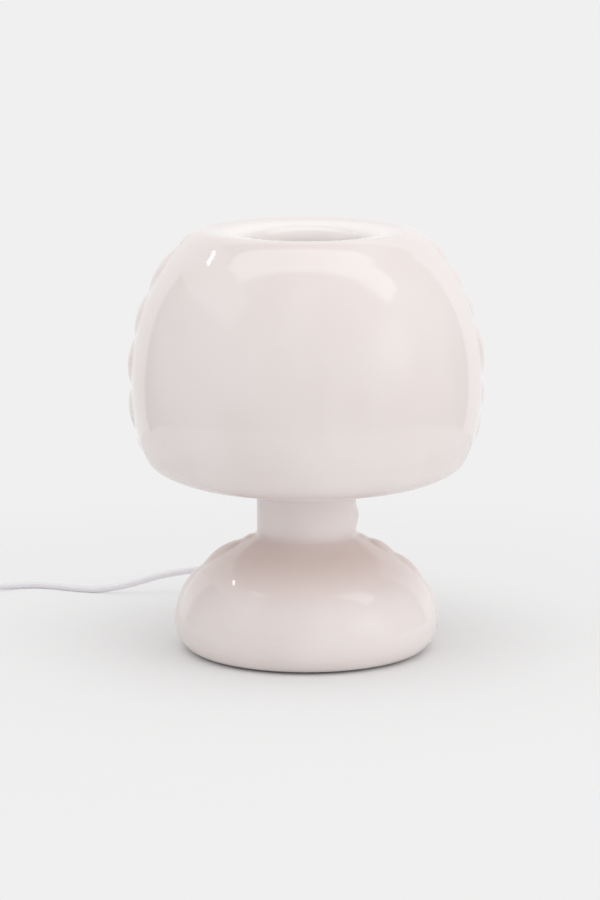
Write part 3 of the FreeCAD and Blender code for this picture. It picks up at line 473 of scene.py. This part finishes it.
def make_camera(stage):
    """The photograph's view: a long lens, a little above the shade, tipped down."""
    camera = bpy.data.cameras.new("camera")
    camera.sensor_fit = "VERTICAL"
    camera.sensor_height = SENSOR
    camera.lens = SENSOR * FOCAL_PIXELS / FRAME_HEIGHT
    camera.clip_end = 50.0
    view = bpy.data.objects.new("camera", camera)
    view.location = (-AXIS_OFFSET, -stage.distance, stage.height)
    view.rotation_euler = (math.radians(90.0 - PITCH), 0.0, 0.0)
    bpy.context.scene.collection.objects.link(view)
    bpy.context.scene.camera = view


def bearing(turn, rise, distance):
    """A point that far from the lamp, by its bearing from the camera's side and height angle."""
    level = distance * math.cos(math.radians(rise))
    return Vector((
        level * math.sin(math.radians(turn)),
        -level * math.cos(math.radians(turn)),
        distance * math.sin(math.radians(rise)) + LAMP_MIDDLE.z,
    ))


def softbox(name, turn, rise, distance, width, height, glow):
    """A rectangular light that faces the lamp and doesn't show in the glass."""
    light = bpy.data.lights.new(name, "AREA")
    light.shape = "RECTANGLE"
    light.size = width
    light.size_y = height
    light.energy = glow * width * height * math.pi
    lamp = bpy.data.objects.new(name, light)
    lamp.location = bearing(turn, rise, distance)
    lamp.rotation_euler = (LAMP_MIDDLE - lamp.location).to_track_quat("-Z", "Y").to_euler()
    lamp.visible_camera = False
    lamp.visible_glossy = False
    bpy.context.scene.collection.objects.link(lamp)


def sheen_panel(name, turn, rise, distance, width, height, glow, edge):
    """A panel with soft edges that only polished surfaces show."""
    place = bearing(turn, rise, distance)
    facing = (LAMP_MIDDLE - place).to_track_quat("Z", "Y").to_matrix().to_4x4()
    form = bmesh.new()
    uv = form.loops.layers.uv.new("panel")
    bmesh.ops.create_grid(form, x_segments=1, y_segments=1, size=0.5, calc_uvs=True)
    bmesh.ops.scale(form, verts=form.verts, vec=(width, height, 1.0))
    form.transform(Matrix.Translation(place) @ facing)
    mesh = bpy.data.meshes.new(name)
    form.to_mesh(mesh)
    form.free()
    recipe = Recipe(name)
    spot = recipe.node("ShaderNodeUVMap", {"uv_map": "panel"})
    rim = None
    for output, reach in ((0, width), (1, height)):
        across = recipe.node("ShaderNodeSeparateXYZ", {}, spot, output=output)
        inward = 0.5 - (across - 0.5).math("ABSOLUTE")
        near = recipe.ramp(inward * reach, 0.0, edge)
        rim = near if rim is None else rim * near
    lit = recipe.node("ShaderNodeEmission", {}, Color=WHITE, Strength=glow)
    clear = recipe.node("ShaderNodeBsdfTransparent", {})
    mixed = recipe.node("ShaderNodeMixShader", {}, rim * rim, clear, lit)
    recipe.tree.links.new(mixed.socket, recipe.output.inputs["Surface"])
    mesh.materials.append(recipe.material)
    panel = bpy.data.objects.new(name, mesh)
    bpy.context.scene.collection.objects.link(panel)
    panel.visible_camera = False
    panel.visible_diffuse = False
    panel.visible_shadow = False


def make_world(colour):
    """Plain light all round; the camera sees the pale backdrop, polished surfaces a dim room."""
    world = bpy.data.worlds.new("studio")
    bpy.context.scene.world = world
    world.use_nodes = True
    tree = world.node_tree
    tree.nodes.clear()
    output = tree.nodes.new("ShaderNodeOutputWorld")
    path = tree.nodes.new("ShaderNodeLightPath")
    surface = background(tree, WHITE, AMBIENT)
    for ray, tint, strength in (
        ("Is Glossy Ray", WHITE, ROOM),
        ("Is Transmission Ray", colour, 1.0),
        ("Is Camera Ray", colour, 1.0),
    ):
        mix = tree.nodes.new("ShaderNodeMixShader")
        tree.links.new(path.outputs[ray], mix.inputs["Fac"])
        tree.links.new(surface, mix.inputs[1])
        tree.links.new(background(tree, tint, strength), mix.inputs[2])
        surface = mix.outputs[0]
    tree.links.new(surface, output.inputs["Surface"])


def background(tree, colour, strength):
    made = tree.nodes.new("ShaderNodeBackground")
    made.inputs["Color"].default_value = (*colour, 1.0)
    made.inputs["Strength"].default_value = strength
    return made.outputs[0]


def floor_material(colour):
    """Pale floor that the camera sees melt into the backdrop some way from the lamp."""
    recipe = Recipe("floor")
    away = recipe.node("ShaderNodeVectorMath", {"operation": "LENGTH"}, recipe.place, output=1)
    shader = recipe.node("ShaderNodeBsdfDiffuse", {}, Color=tuple(c * FLOOR_DEPTH for c in colour))
    clear = recipe.node("ShaderNodeBsdfTransparent", {})
    near = recipe.ramp(away, *FLOOR_NEAR) * FLOOR_SHARE
    far = recipe.ramp(away, *FLOOR_FAR) * (1.0 - FLOOR_SHARE)
    seen = recipe.node("ShaderNodeLightPath", {})
    mixed = recipe.node("ShaderNodeMixShader", {}, (near + far) * seen, shader, clear)
    recipe.tree.links.new(mixed.socket, recipe.output.inputs["Surface"])
    return recipe.material


class LAMP_OT_stage(bpy.types.Operator):
    """Camera, floor and soft studio light"""

    bl_idname = "lamp.stage"
    bl_label = "Stage"

    def execute(self, context):
        stage = context.scene.lamp_stage
        make_camera(stage)
        context.scene.view_settings.view_transform = "Standard"
        make_world(tuple(stage.floor_colour))
        form = bmesh.new()
        bmesh.ops.create_circle(form, cap_ends=True, segments=96, radius=FLOOR_RADIUS)
        mesh = bpy.data.meshes.new("floor")
        form.to_mesh(mesh)
        form.free()
        floor = bpy.data.objects.new("floor", mesh)
        context.scene.collection.objects.link(floor)
        mesh.materials.append(floor_material(tuple(stage.floor_colour)))
        for panel in SOFTBOXES:
            softbox(*panel)
        for panel in SHEENS:
            sheen_panel(*panel)
        return {"FINISHED"}


# ---------------------------------------------------------------- cords

SWITCH_PLACE = Vector((-286.0, 115.0, 0.0)) * MM
SWITCH_TURN = math.radians(238.0)
SWITCH_HALF = 30.0 * MM
SWITCH_SPLIT = 7.5 * MM
PLUG_PLACE = Vector((-313.0, -19.0, 6.85)) * MM
PLUG_TURN = math.radians(290.0)
COIL_MIDDLE = (Vector(COIL_BOX[0]) + Vector(COIL_BOX[1])) / 2
COIL_REACH = (COIL_BOX[1][0] - COIL_BOX[0][0]) / 2
COIL_TURNS = 7
LOWER_TURNS = 4
NEST = math.radians(60)


def on_heading(place, turn, distance):
    """A point that far from a place, level with it, in a direction."""
    return place + Vector((math.cos(turn), math.sin(turn), 0.0)) * distance


def lamp_run():
    """The route from the gland round the back of the base and along the floor to the switch."""
    exit_y = GLAND_BOX[1][1] / MM
    exit_z = 24.0
    place = SWITCH_PLACE + UP * SWITCH_SPLIT
    return [Vector(p) * MM for p in (
        (0, exit_y, exit_z),
        (0, exit_y + 14, exit_z),
        (-7, exit_y + 30, exit_z - 0.4),
        (-20, exit_y + 42, exit_z - 1.2),
        (-38, exit_y + 48.5, 21.8),
        (-63, 170, 20),
        (-90, 168.5, 17.2),
        (-112, 167, 13.8),
        (-134.5, 167, 6.5),
        (-157, 167, 2.5),
        (-174, 171, 2.5),
        (-197, 182.5, 2.5),
        (-215, 184, 2.5),
        (-234, 175, 3.2),
        (-250, 164.5, 5.6),
    )] + [
        on_heading(place, SWITCH_TURN, -SWITCH_HALF - 14 * MM),
        on_heading(place, SWITCH_TURN, -SWITCH_HALF),
    ]


def coil_turns(radius, steps):
    """Two layers of turns: the lower ones inwards, the upper ones outwards in their grooves."""
    outer = COIL_REACH - radius
    low = COIL_BOX[0][2] + radius
    gap = 2 * radius
    layer = gap * math.sin(NEST)
    last_low = LOWER_TURNS - 1
    easing = 4 / (3 + math.cos(2 * math.pi / steps))
    points = []
    for index in range(COIL_TURNS * steps):
        turn, step = divmod(index, steps)
        share = step / steps
        shift = min(1.0, max(0.0, (share - 0.15) / 0.2))
        shift = shift * shift * (3 - 2 * shift)
        hump = math.sin(math.pi * min(1.0, max(0.0, (share - 0.12) / 0.26)))
        if turn < LOWER_TURNS:
            reach = outer - gap * (turn + (shift if turn < last_low else 0))
            height = low
            if turn == last_low:
                climb = min(1.0, max(0.0, (share - 0.45) / 0.25)) * NEST
                reach = outer - gap * (last_low - 1) - gap * math.cos(climb)
                height = low + gap * math.sin(climb)
        else:
            out = turn - LOWER_TURNS + (shift if turn < COIL_TURNS - 1 else 0)
            reach = outer - gap * (last_low - 0.5) + gap * out
            height = low + layer + 0.14 * gap * hump
        angle = math.pi + 2 * math.pi * share
        points.append(Vector((
            COIL_MIDDLE.x + reach * easing * math.cos(angle),
            COIL_MIDDLE.y + reach * easing * math.sin(angle),
            height,
        )))
    return points


def plug_run(radius, steps):
    """The route from the switch through the coil to the plug."""
    place = SWITCH_PLACE + UP * SWITCH_SPLIT
    lead = [
        on_heading(place, SWITCH_TURN, SWITCH_HALF),
        on_heading(place, SWITCH_TURN, SWITCH_HALF + 10 * MM),
        Vector((-316, 65.5, 5.6)) * MM,
        Vector((-323.5, 49.5, 3.8)) * MM,
    ]
    side = COIL_MIDDLE.x - COIL_REACH + 2 * radius
    level = COIL_BOX[0][2] + radius + 2 * radius * math.sin(NEST)
    tail = [
        Vector((side, COIL_MIDDLE.y - 1 * MM, level)),
        Vector((side - 0.2 * MM, COIL_MIDDLE.y - 13 * MM, level + 0.9 * MM)),
        Vector((side + 1.5 * MM, COIL_MIDDLE.y - 27 * MM, level + 0.7 * MM)),
        on_heading(PLUG_PLACE, PLUG_TURN, -13 * MM),
        PLUG_PLACE.copy(),
    ]
    return lead + coil_turns(radius, steps) + tail


def cord_piece(name, points, radius, *nodes):
    """A round cord along a smooth line that follows the route's points."""
    curve = bpy.data.curves.new(name, "CURVE")
    curve.dimensions = "3D"
    curve.bevel_depth = radius
    curve.bevel_resolution = 6
    curve.use_fill_caps = True
    spline = curve.splines.new("NURBS")
    spline.points.add(len(points) - 1)
    for point, place in zip(spline.points, points):
        point.co = (*place, 1.0)
    spline.order_u = 3
    spline.use_endpoint_u = True
    spline.resolution_u = 8
    piece = bpy.data.objects.new(name, curve)
    bpy.context.scene.collection.objects.link(piece)
    return settle(piece, "lamp", *nodes)


def run_length(points):
    """Length of the smooth line, from the midpoints and corners that bound it."""
    total = 0.0
    for before, point, after in zip(points, points[1:], points[2:]):
        start = (before + point) / 2
        end = (point + after) / 2
        chord = (end - start).length
        bend = (point - start).length + (end - point).length
        total += (2 * chord + bend) / 3
    return total + (points[1] - points[0]).length / 2 + (points[-1] - points[-2]).length / 2


class LAMP_OT_cords(bpy.types.Operator):
    """Cord from the lamp to the switch, and on through its coil to the plug"""

    bl_idname = "lamp.cords"
    bl_label = "Cords"

    def execute(self, context):
        sizes = context.scene.lamp_cord
        first = lamp_run()
        cord_piece("lamp_cord", first, sizes.radius, "cord_lamp_run")
        second = plug_run(sizes.radius, sizes.coil_steps)
        cord_piece("plug_cord", second, sizes.radius, "cord_coil_run", "cord_coil", "cord_tail")
        return {"FINISHED"}


def declare_cords():
    """Works out both cords' lengths along their smooth lines, once the pieces that they carry are
    made; the lengths are not kept.
    """
    sizes = bpy.context.scene.lamp_cord
    first = lamp_run()
    second = plug_run(sizes.radius, sizes.coil_steps)
    run_length(first)
    run_length(second)


# ---------------------------------------------------------------- blown glass

TRAIL_TURN = math.radians(1.5)
TRAIL_BLEND = 0.7 * MM
TRAIL_SPAN = 22.0
SHADE_NIPS_LEFT = (0.020, 0.068, 0.254, 0.432, 0.630, 0.816, 0.903)
SHADE_NIPS_RIGHT = (0.034, 0.136, 0.243, 0.370, 0.596, 0.723, 0.867, 0.951)
BASE_NIPS_LEFT = (0.012, 0.062, 0.284, 0.661, 0.902)
BASE_NIPS_RIGHT = (0.012, 0.049, 0.179, 0.420, 0.692, 0.909)
NECK_NIPS_RIGHT = (0.549, 0.857)

SHADE_LIP = (42.5, 264.0)
SHADE_CREST = (74.0, 299.9)
SHADE_BELLY = (123.25, 200.0)
SHADE_FOOT = (80.0, 122.9)
SHADE_SEAT = (37.0, 131.9)
SHADE_HOLE = 26.2
SHADE_THROAT = 4.0
BASE_NECK_TOP = 128.0
BASE_NECK_FOOT = (35.3, 82.5)
BASE_BELLY = (93.5, 22.0)
BASE_FOOT = (83.0, 1.6)
BASE_SEAT = (66.5, 6.4)
BASE_HOLE = 57.0
LINE_STEP = 1.4 * MM
INSIDE_STEP = 5.0 * MM
SPIN_MERGE = 1e-6
GLASS_SHARP_DEGREES = 50.0


def metres(pairs):
    """Radius and height pairs in millimetres, made metres."""
    return [(r * MM, z * MM) for r, z in pairs]


def shade_line():
    """The shade's outer outline, from its lip over the crest and belly to its seat."""
    roll = ((0.016, 0.47), (0.054, 0.694), (0.152, 0.847), (0.317, 0.936), (0.60, 0.976))
    points = [SHADE_LIP] + shares(SHADE_LIP, SHADE_CREST, roll)
    shoulder = ((0.365, 0.15), (0.56, 0.28), (0.77, 0.475), (0.913, 0.70))
    points += [SHADE_CREST] + shares(SHADE_CREST, SHADE_BELLY, shoulder)
    corner = ((0.02, 0.365), (0.145, 0.69), (0.295, 0.85), (0.585, 0.95))
    points += [SHADE_BELLY] + shares(SHADE_BELLY, SHADE_FOOT, corner)
    points += [SHADE_FOOT] + shares(SHADE_FOOT, SHADE_SEAT, ((0.45, 0.25),)) + [SHADE_SEAT]
    return smooth_line(metres(points), LINE_STEP)


def base_line():
    """The base's outer outline, from the foot of the neck to the seat of the plate."""
    dome = ((0.25, 0.12), (0.53, 0.285), (0.77, 0.495), (0.914, 0.72))
    points = [BASE_NECK_FOOT] + shares(BASE_NECK_FOOT, BASE_BELLY, dome)
    points += [BASE_BELLY] + shares(BASE_BELLY, BASE_FOOT, ((0.24, 0.62),))
    recess = ((0.42, 0.10), (0.80, 0.80))
    points += [BASE_FOOT] + shares(BASE_FOOT, BASE_SEAT, recess) + [BASE_SEAT]
    return smooth_line(metres(points), LINE_STEP)


def softened(line, corner, reach):
    """An outline whose corner is rounded over a few rows on both sides."""
    for spread in range(reach, 0, -1):
        for row in range(corner - spread, corner + spread + 1):
            line[row] = (line[row - 1] + line[row] * 2 + line[row + 1]) / 4
    return line


def row_at(line, height, start):
    """The row of an outline that first comes down to a height, past its start."""
    for row in range(start, len(line) - 1):
        if line[row].y >= height > line[row + 1].y:
            share = (line[row].y - height) / (line[row].y - line[row + 1].y)
            return row, line[row].lerp(line[row + 1], share)
    raise ValueError("the outline doesn't come down to %.4f" % height)


def crowns(sizes, line, nips):
    """Height of a trail's crown over the glass at each row of an outline."""
    heights = [-1.0] * len(line)
    for (first, upper), (last, lower) in zip(nips, nips[1:]):
        chord = lower - upper
        out = Vector((-chord.y, chord.x)).normalized()
        for row in range(first + 1, last + 1):
            share = (line[row] - upper).dot(chord) / chord.length_squared
            swell = sizes.trail_rise * chord.length * 4 * share * (1 - share)
            heights[row] = sizes.trail_nip + swell - (line[row] - upper).dot(out)
    for end, step in ((nips[0][0], -1), (nips[-1][0] + 1, 1)):
        for away in range(4):
            heights[end + step * away] = sizes.trail_nip - away * LINE_STEP * 0.6
    return heights


def trail(sizes, line, start, shares_down, top, foot, turn):
    """One trail: its turn about the axis and its crown's height at each row."""
    heights = [top + (foot - top) * share for share in shares_down]
    return turn, crowns(sizes, line, [row_at(line, z * MM, start) for z in heights])


def eased(value, width):
    """The larger of a value and zero, with the corner rounded over."""
    if value >= width:
        return value
    if value <= -width:
        return 0.0
    return (value + width) ** 2 / (4 * width)


def lay_trails(form, layer, line, sizes, trails):
    """Raises the glass along each trail: a rope of glass, nipped between its swellings."""
    normals = normals_of(line)
    for vert in form.verts:
        row = vert[layer]
        if row < 0:
            continue
        out = Vector((vert.co.x, vert.co.y, 0.0))
        radius = out.length
        out /= radius
        around = math.atan2(out.y, out.x)
        for turn, heights in trails:
            aside = radius * math.sin(around - turn)
            if heights[row] < 0 or math.cos(around - turn) < 0:
                continue
            crown = sizes.trail_root + heights[row]
            rise = math.sqrt(max(crown**2 - aside**2, 0.0)) - sizes.trail_root
            vert.co += (out * normals[row].x + UP * normals[row].y) * eased(rise, TRAIL_BLEND)


def glass_spans():
    """Where the spin starts, and its spans with their steps: fine ones where the trails lie."""
    right_start = math.degrees(TRAIL_TURN) - TRAIL_SPAN / 2
    left_start = 180.0 - math.degrees(TRAIL_TURN) - TRAIL_SPAN / 2
    back = left_start - right_start - TRAIL_SPAN
    front = 360.0 - back - 2 * TRAIL_SPAN
    return right_start, ((TRAIL_SPAN, 54), (back, 62), (TRAIL_SPAN, 54), (front, 74))


def blown(name, line, inside, sizes, trails, body, *nodes):
    """Spins a glass wall from its outer and inner outlines and lays its trails."""
    form = bmesh.new()
    layer = form.verts.layers.int.new("row")
    corners = []
    for row, point in enumerate(line + inside):
        vert = form.verts.new((point[0], 0.0, point[1]))
        vert[layer] = row if row < len(line) else -1
        corners.append(vert)
    edges = [form.edges.new(pair) for pair in zip(corners, corners[1:] + corners[:1])]
    start, spans = glass_spans()
    bmesh.ops.rotate(
        form, verts=corners, cent=(0, 0, 0), matrix=Matrix.Rotation(math.radians(start), 3, "Z")
    )
    geometry = corners + edges
    for angle, steps in spans:
        made = bmesh.ops.spin(
            form, geom=geometry, cent=(0, 0, 0), axis=UP, angle=math.radians(angle), steps=steps
        )
        geometry = made["geom_last"]
    bmesh.ops.remove_doubles(form, verts=form.verts, dist=SPIN_MERGE)
    lay_trails(form, layer, line, sizes, trails)
    form.verts.layers.int.remove(layer)
    bmesh.ops.recalc_face_normals(form, faces=form.faces)
    return crease(add_piece(name, form, body, *nodes), GLASS_SHARP_DEGREES)


def coarse(line, spacing):
    """Fewer points of a fine outline, its ends kept."""
    step = max(1, round(spacing / LINE_STEP))
    return line[:-1:step] + [line[-1]]


def half_ring(middle, radius, start, end, steps):
    """Points of an arc in an outline, its ends left out."""
    points = []
    for step in range(1, steps):
        angle = math.radians(start + (end - start) * step / steps)
        points.append(middle + Vector((math.cos(angle), math.sin(angle))) * radius)
    return points


class LAMP_OT_shade(bpy.types.Operator):
    """Bun-shaped shade with a rolled-in top opening and two pinched trails"""

    bl_idname = "lamp.shade"
    bl_label = "Shade"

    def execute(self, context):
        sizes = context.scene.lamp_glass
        wall = sizes.wall
        line = shade_line()
        seat = SHADE_SEAT[1] * MM
        hole = SHADE_HOLE * MM
        edge = line[0] - Vector((0, SHADE_THROAT * MM))
        inside = [Vector((hole, seat)), Vector((hole, seat + wall))]
        inside += coarse(moved_in(line, wall)[::-1], INSIDE_STEP)
        inside.append(edge + Vector((wall, 0)))
        inside += half_ring(edge + Vector((wall / 2, 0)), wall / 2, 0, -180, 8)
        inside.append(edge)
        crest = max(range(len(line)), key=lambda row: line[row].y)
        top, foot = SHADE_CREST[1], SHADE_FOOT[1]
        trails = [
            trail(sizes, line, crest, SHADE_NIPS_LEFT, top, foot, math.pi - TRAIL_TURN),
            trail(sizes, line, crest, SHADE_NIPS_RIGHT, top, foot, TRAIL_TURN),
        ]
        blown("shade", line, inside, sizes, trails, "shade", "shade_glass", "shade_trails")
        return {"FINISHED"}


class LAMP_OT_base(bpy.types.Operator):
    """Domed base with its neck and pinched trails"""

    bl_idname = "lamp.base"
    bl_label = "Base"

    def execute(self, context):
        sizes = context.scene.lamp_glass
        wall = sizes.wall
        neck_r, foot = BASE_NECK_FOOT
        steps = math.ceil((BASE_NECK_TOP - foot) * MM / LINE_STEP)
        neck_top = Vector((neck_r, BASE_NECK_TOP)) * MM
        neck_foot = Vector(BASE_NECK_FOOT) * MM
        neck = [neck_top.lerp(neck_foot, step / steps) for step in range(steps)]
        dome = base_line()
        line = softened(neck + dome, len(neck), 4)
        seat = BASE_SEAT[1] * MM
        hole = BASE_HOLE * MM
        inside = [Vector((hole, seat)), Vector((hole, seat + wall))]
        inside += coarse(moved_in(dome, wall)[::-1], INSIDE_STEP)
        inside += [Vector((neck_top.x - wall, inside[-1].y)), neck_top - Vector((wall, 0))]
        start = len(neck)
        ends = BASE_NECK_FOOT[1], BASE_FOOT[1]
        trails = [
            trail(sizes, line, start, BASE_NIPS_LEFT, *ends, math.pi - TRAIL_TURN),
            trail(sizes, line, start, BASE_NIPS_RIGHT, *ends, TRAIL_TURN),
            trail(sizes, line, 0, NECK_NIPS_RIGHT, BASE_NECK_TOP, BASE_NECK_FOOT[1], TRAIL_TURN),
        ]
        blown("base", line, inside, sizes, trails, "lamp", "base_glass", "base_trails")
        return {"FINISHED"}


# ---------------------------------------------------------------- fittings from the frame

# node, body it rides on and the round on its edges in millimetres
EASED = (
    ("felt_ring", "lamp", 0.5),
    ("base_plate", "lamp", 0.25),
    ("base_seal", "lamp", 0.3),
    ("neck_seal", "lamp", 0.3),
    ("neck_cap", "lamp", 0.35),
    ("shade_gasket", "lamp", 0.4),
    ("lampholder_base", "lamp", 0.5),
    ("lampholder_shell", "lamp", 0.4),
    ("cord_gland", "lamp", 0.35),
    ("cord_tie", "lamp", 0.2),
    ("switch_base", "lamp", 0.4),
    ("switch_cover", "lamp", 0.35),
    ("switch_rocker", "rocker", 0.5),
    ("plug_body", "lamp", 0.9),
    ("plug_collars", "lamp", 0.1),
    ("bulb_collar", "bulb", 0.3),
)


class LAMP_OT_fittings(bpy.types.Operator):
    """Fittings with eased edges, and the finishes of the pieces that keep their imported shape"""

    bl_idname = "lamp.fittings"
    bl_label = "Fittings"

    def execute(self, context):
        for node, body, bevel in EASED:
            eased_copy(node, body, bevel * MM)
        for node, piece in frame["nodes"].items():
            if not piece.hide_render:
                dress(node)
        return {"FINISHED"}


class LAMP_PT_panel(bpy.types.Panel):
    """Lists the lamp's steps and sizes"""

    bl_idname = "LAMP_PT_panel"
    bl_label = "Opal Glass Lamp"
    bl_space_type = "VIEW_3D"
    bl_region_type = "UI"
    bl_category = "Lamp"

    def draw(self, context):
        for operator in OPERATORS:
            self.layout.operator(operator.bl_idname)
        for name, group in SETTINGS:
            box = self.layout.box()
            for key in group.__annotations__:
                box.prop(getattr(context.scene, name), key)


OPERATORS = (LAMP_OT_stage, LAMP_OT_cords, LAMP_OT_shade, LAMP_OT_base, LAMP_OT_fittings)


def register():
    for name, group in SETTINGS:
        bpy.utils.register_class(group)
        setattr(bpy.types.Scene, name, PointerProperty(type=group))
    for operator in OPERATORS:
        bpy.utils.register_class(operator)
    bpy.utils.register_class(LAMP_PT_panel)


def unregister():
    bpy.utils.unregister_class(LAMP_PT_panel)
    for operator in reversed(OPERATORS):
        bpy.utils.unregister_class(operator)
    for name, group in reversed(SETTINGS):
        delattr(bpy.types.Scene, name)
        bpy.utils.unregister_class(group)


def main():
    register()
    bpy.ops.lamp.stage()
    bpy.ops.lamp.cords()
    bpy.ops.lamp.shade()
    bpy.ops.lamp.base()
    bpy.ops.lamp.fittings()
    declare_cords()


if __name__ == "__main__":
    main()
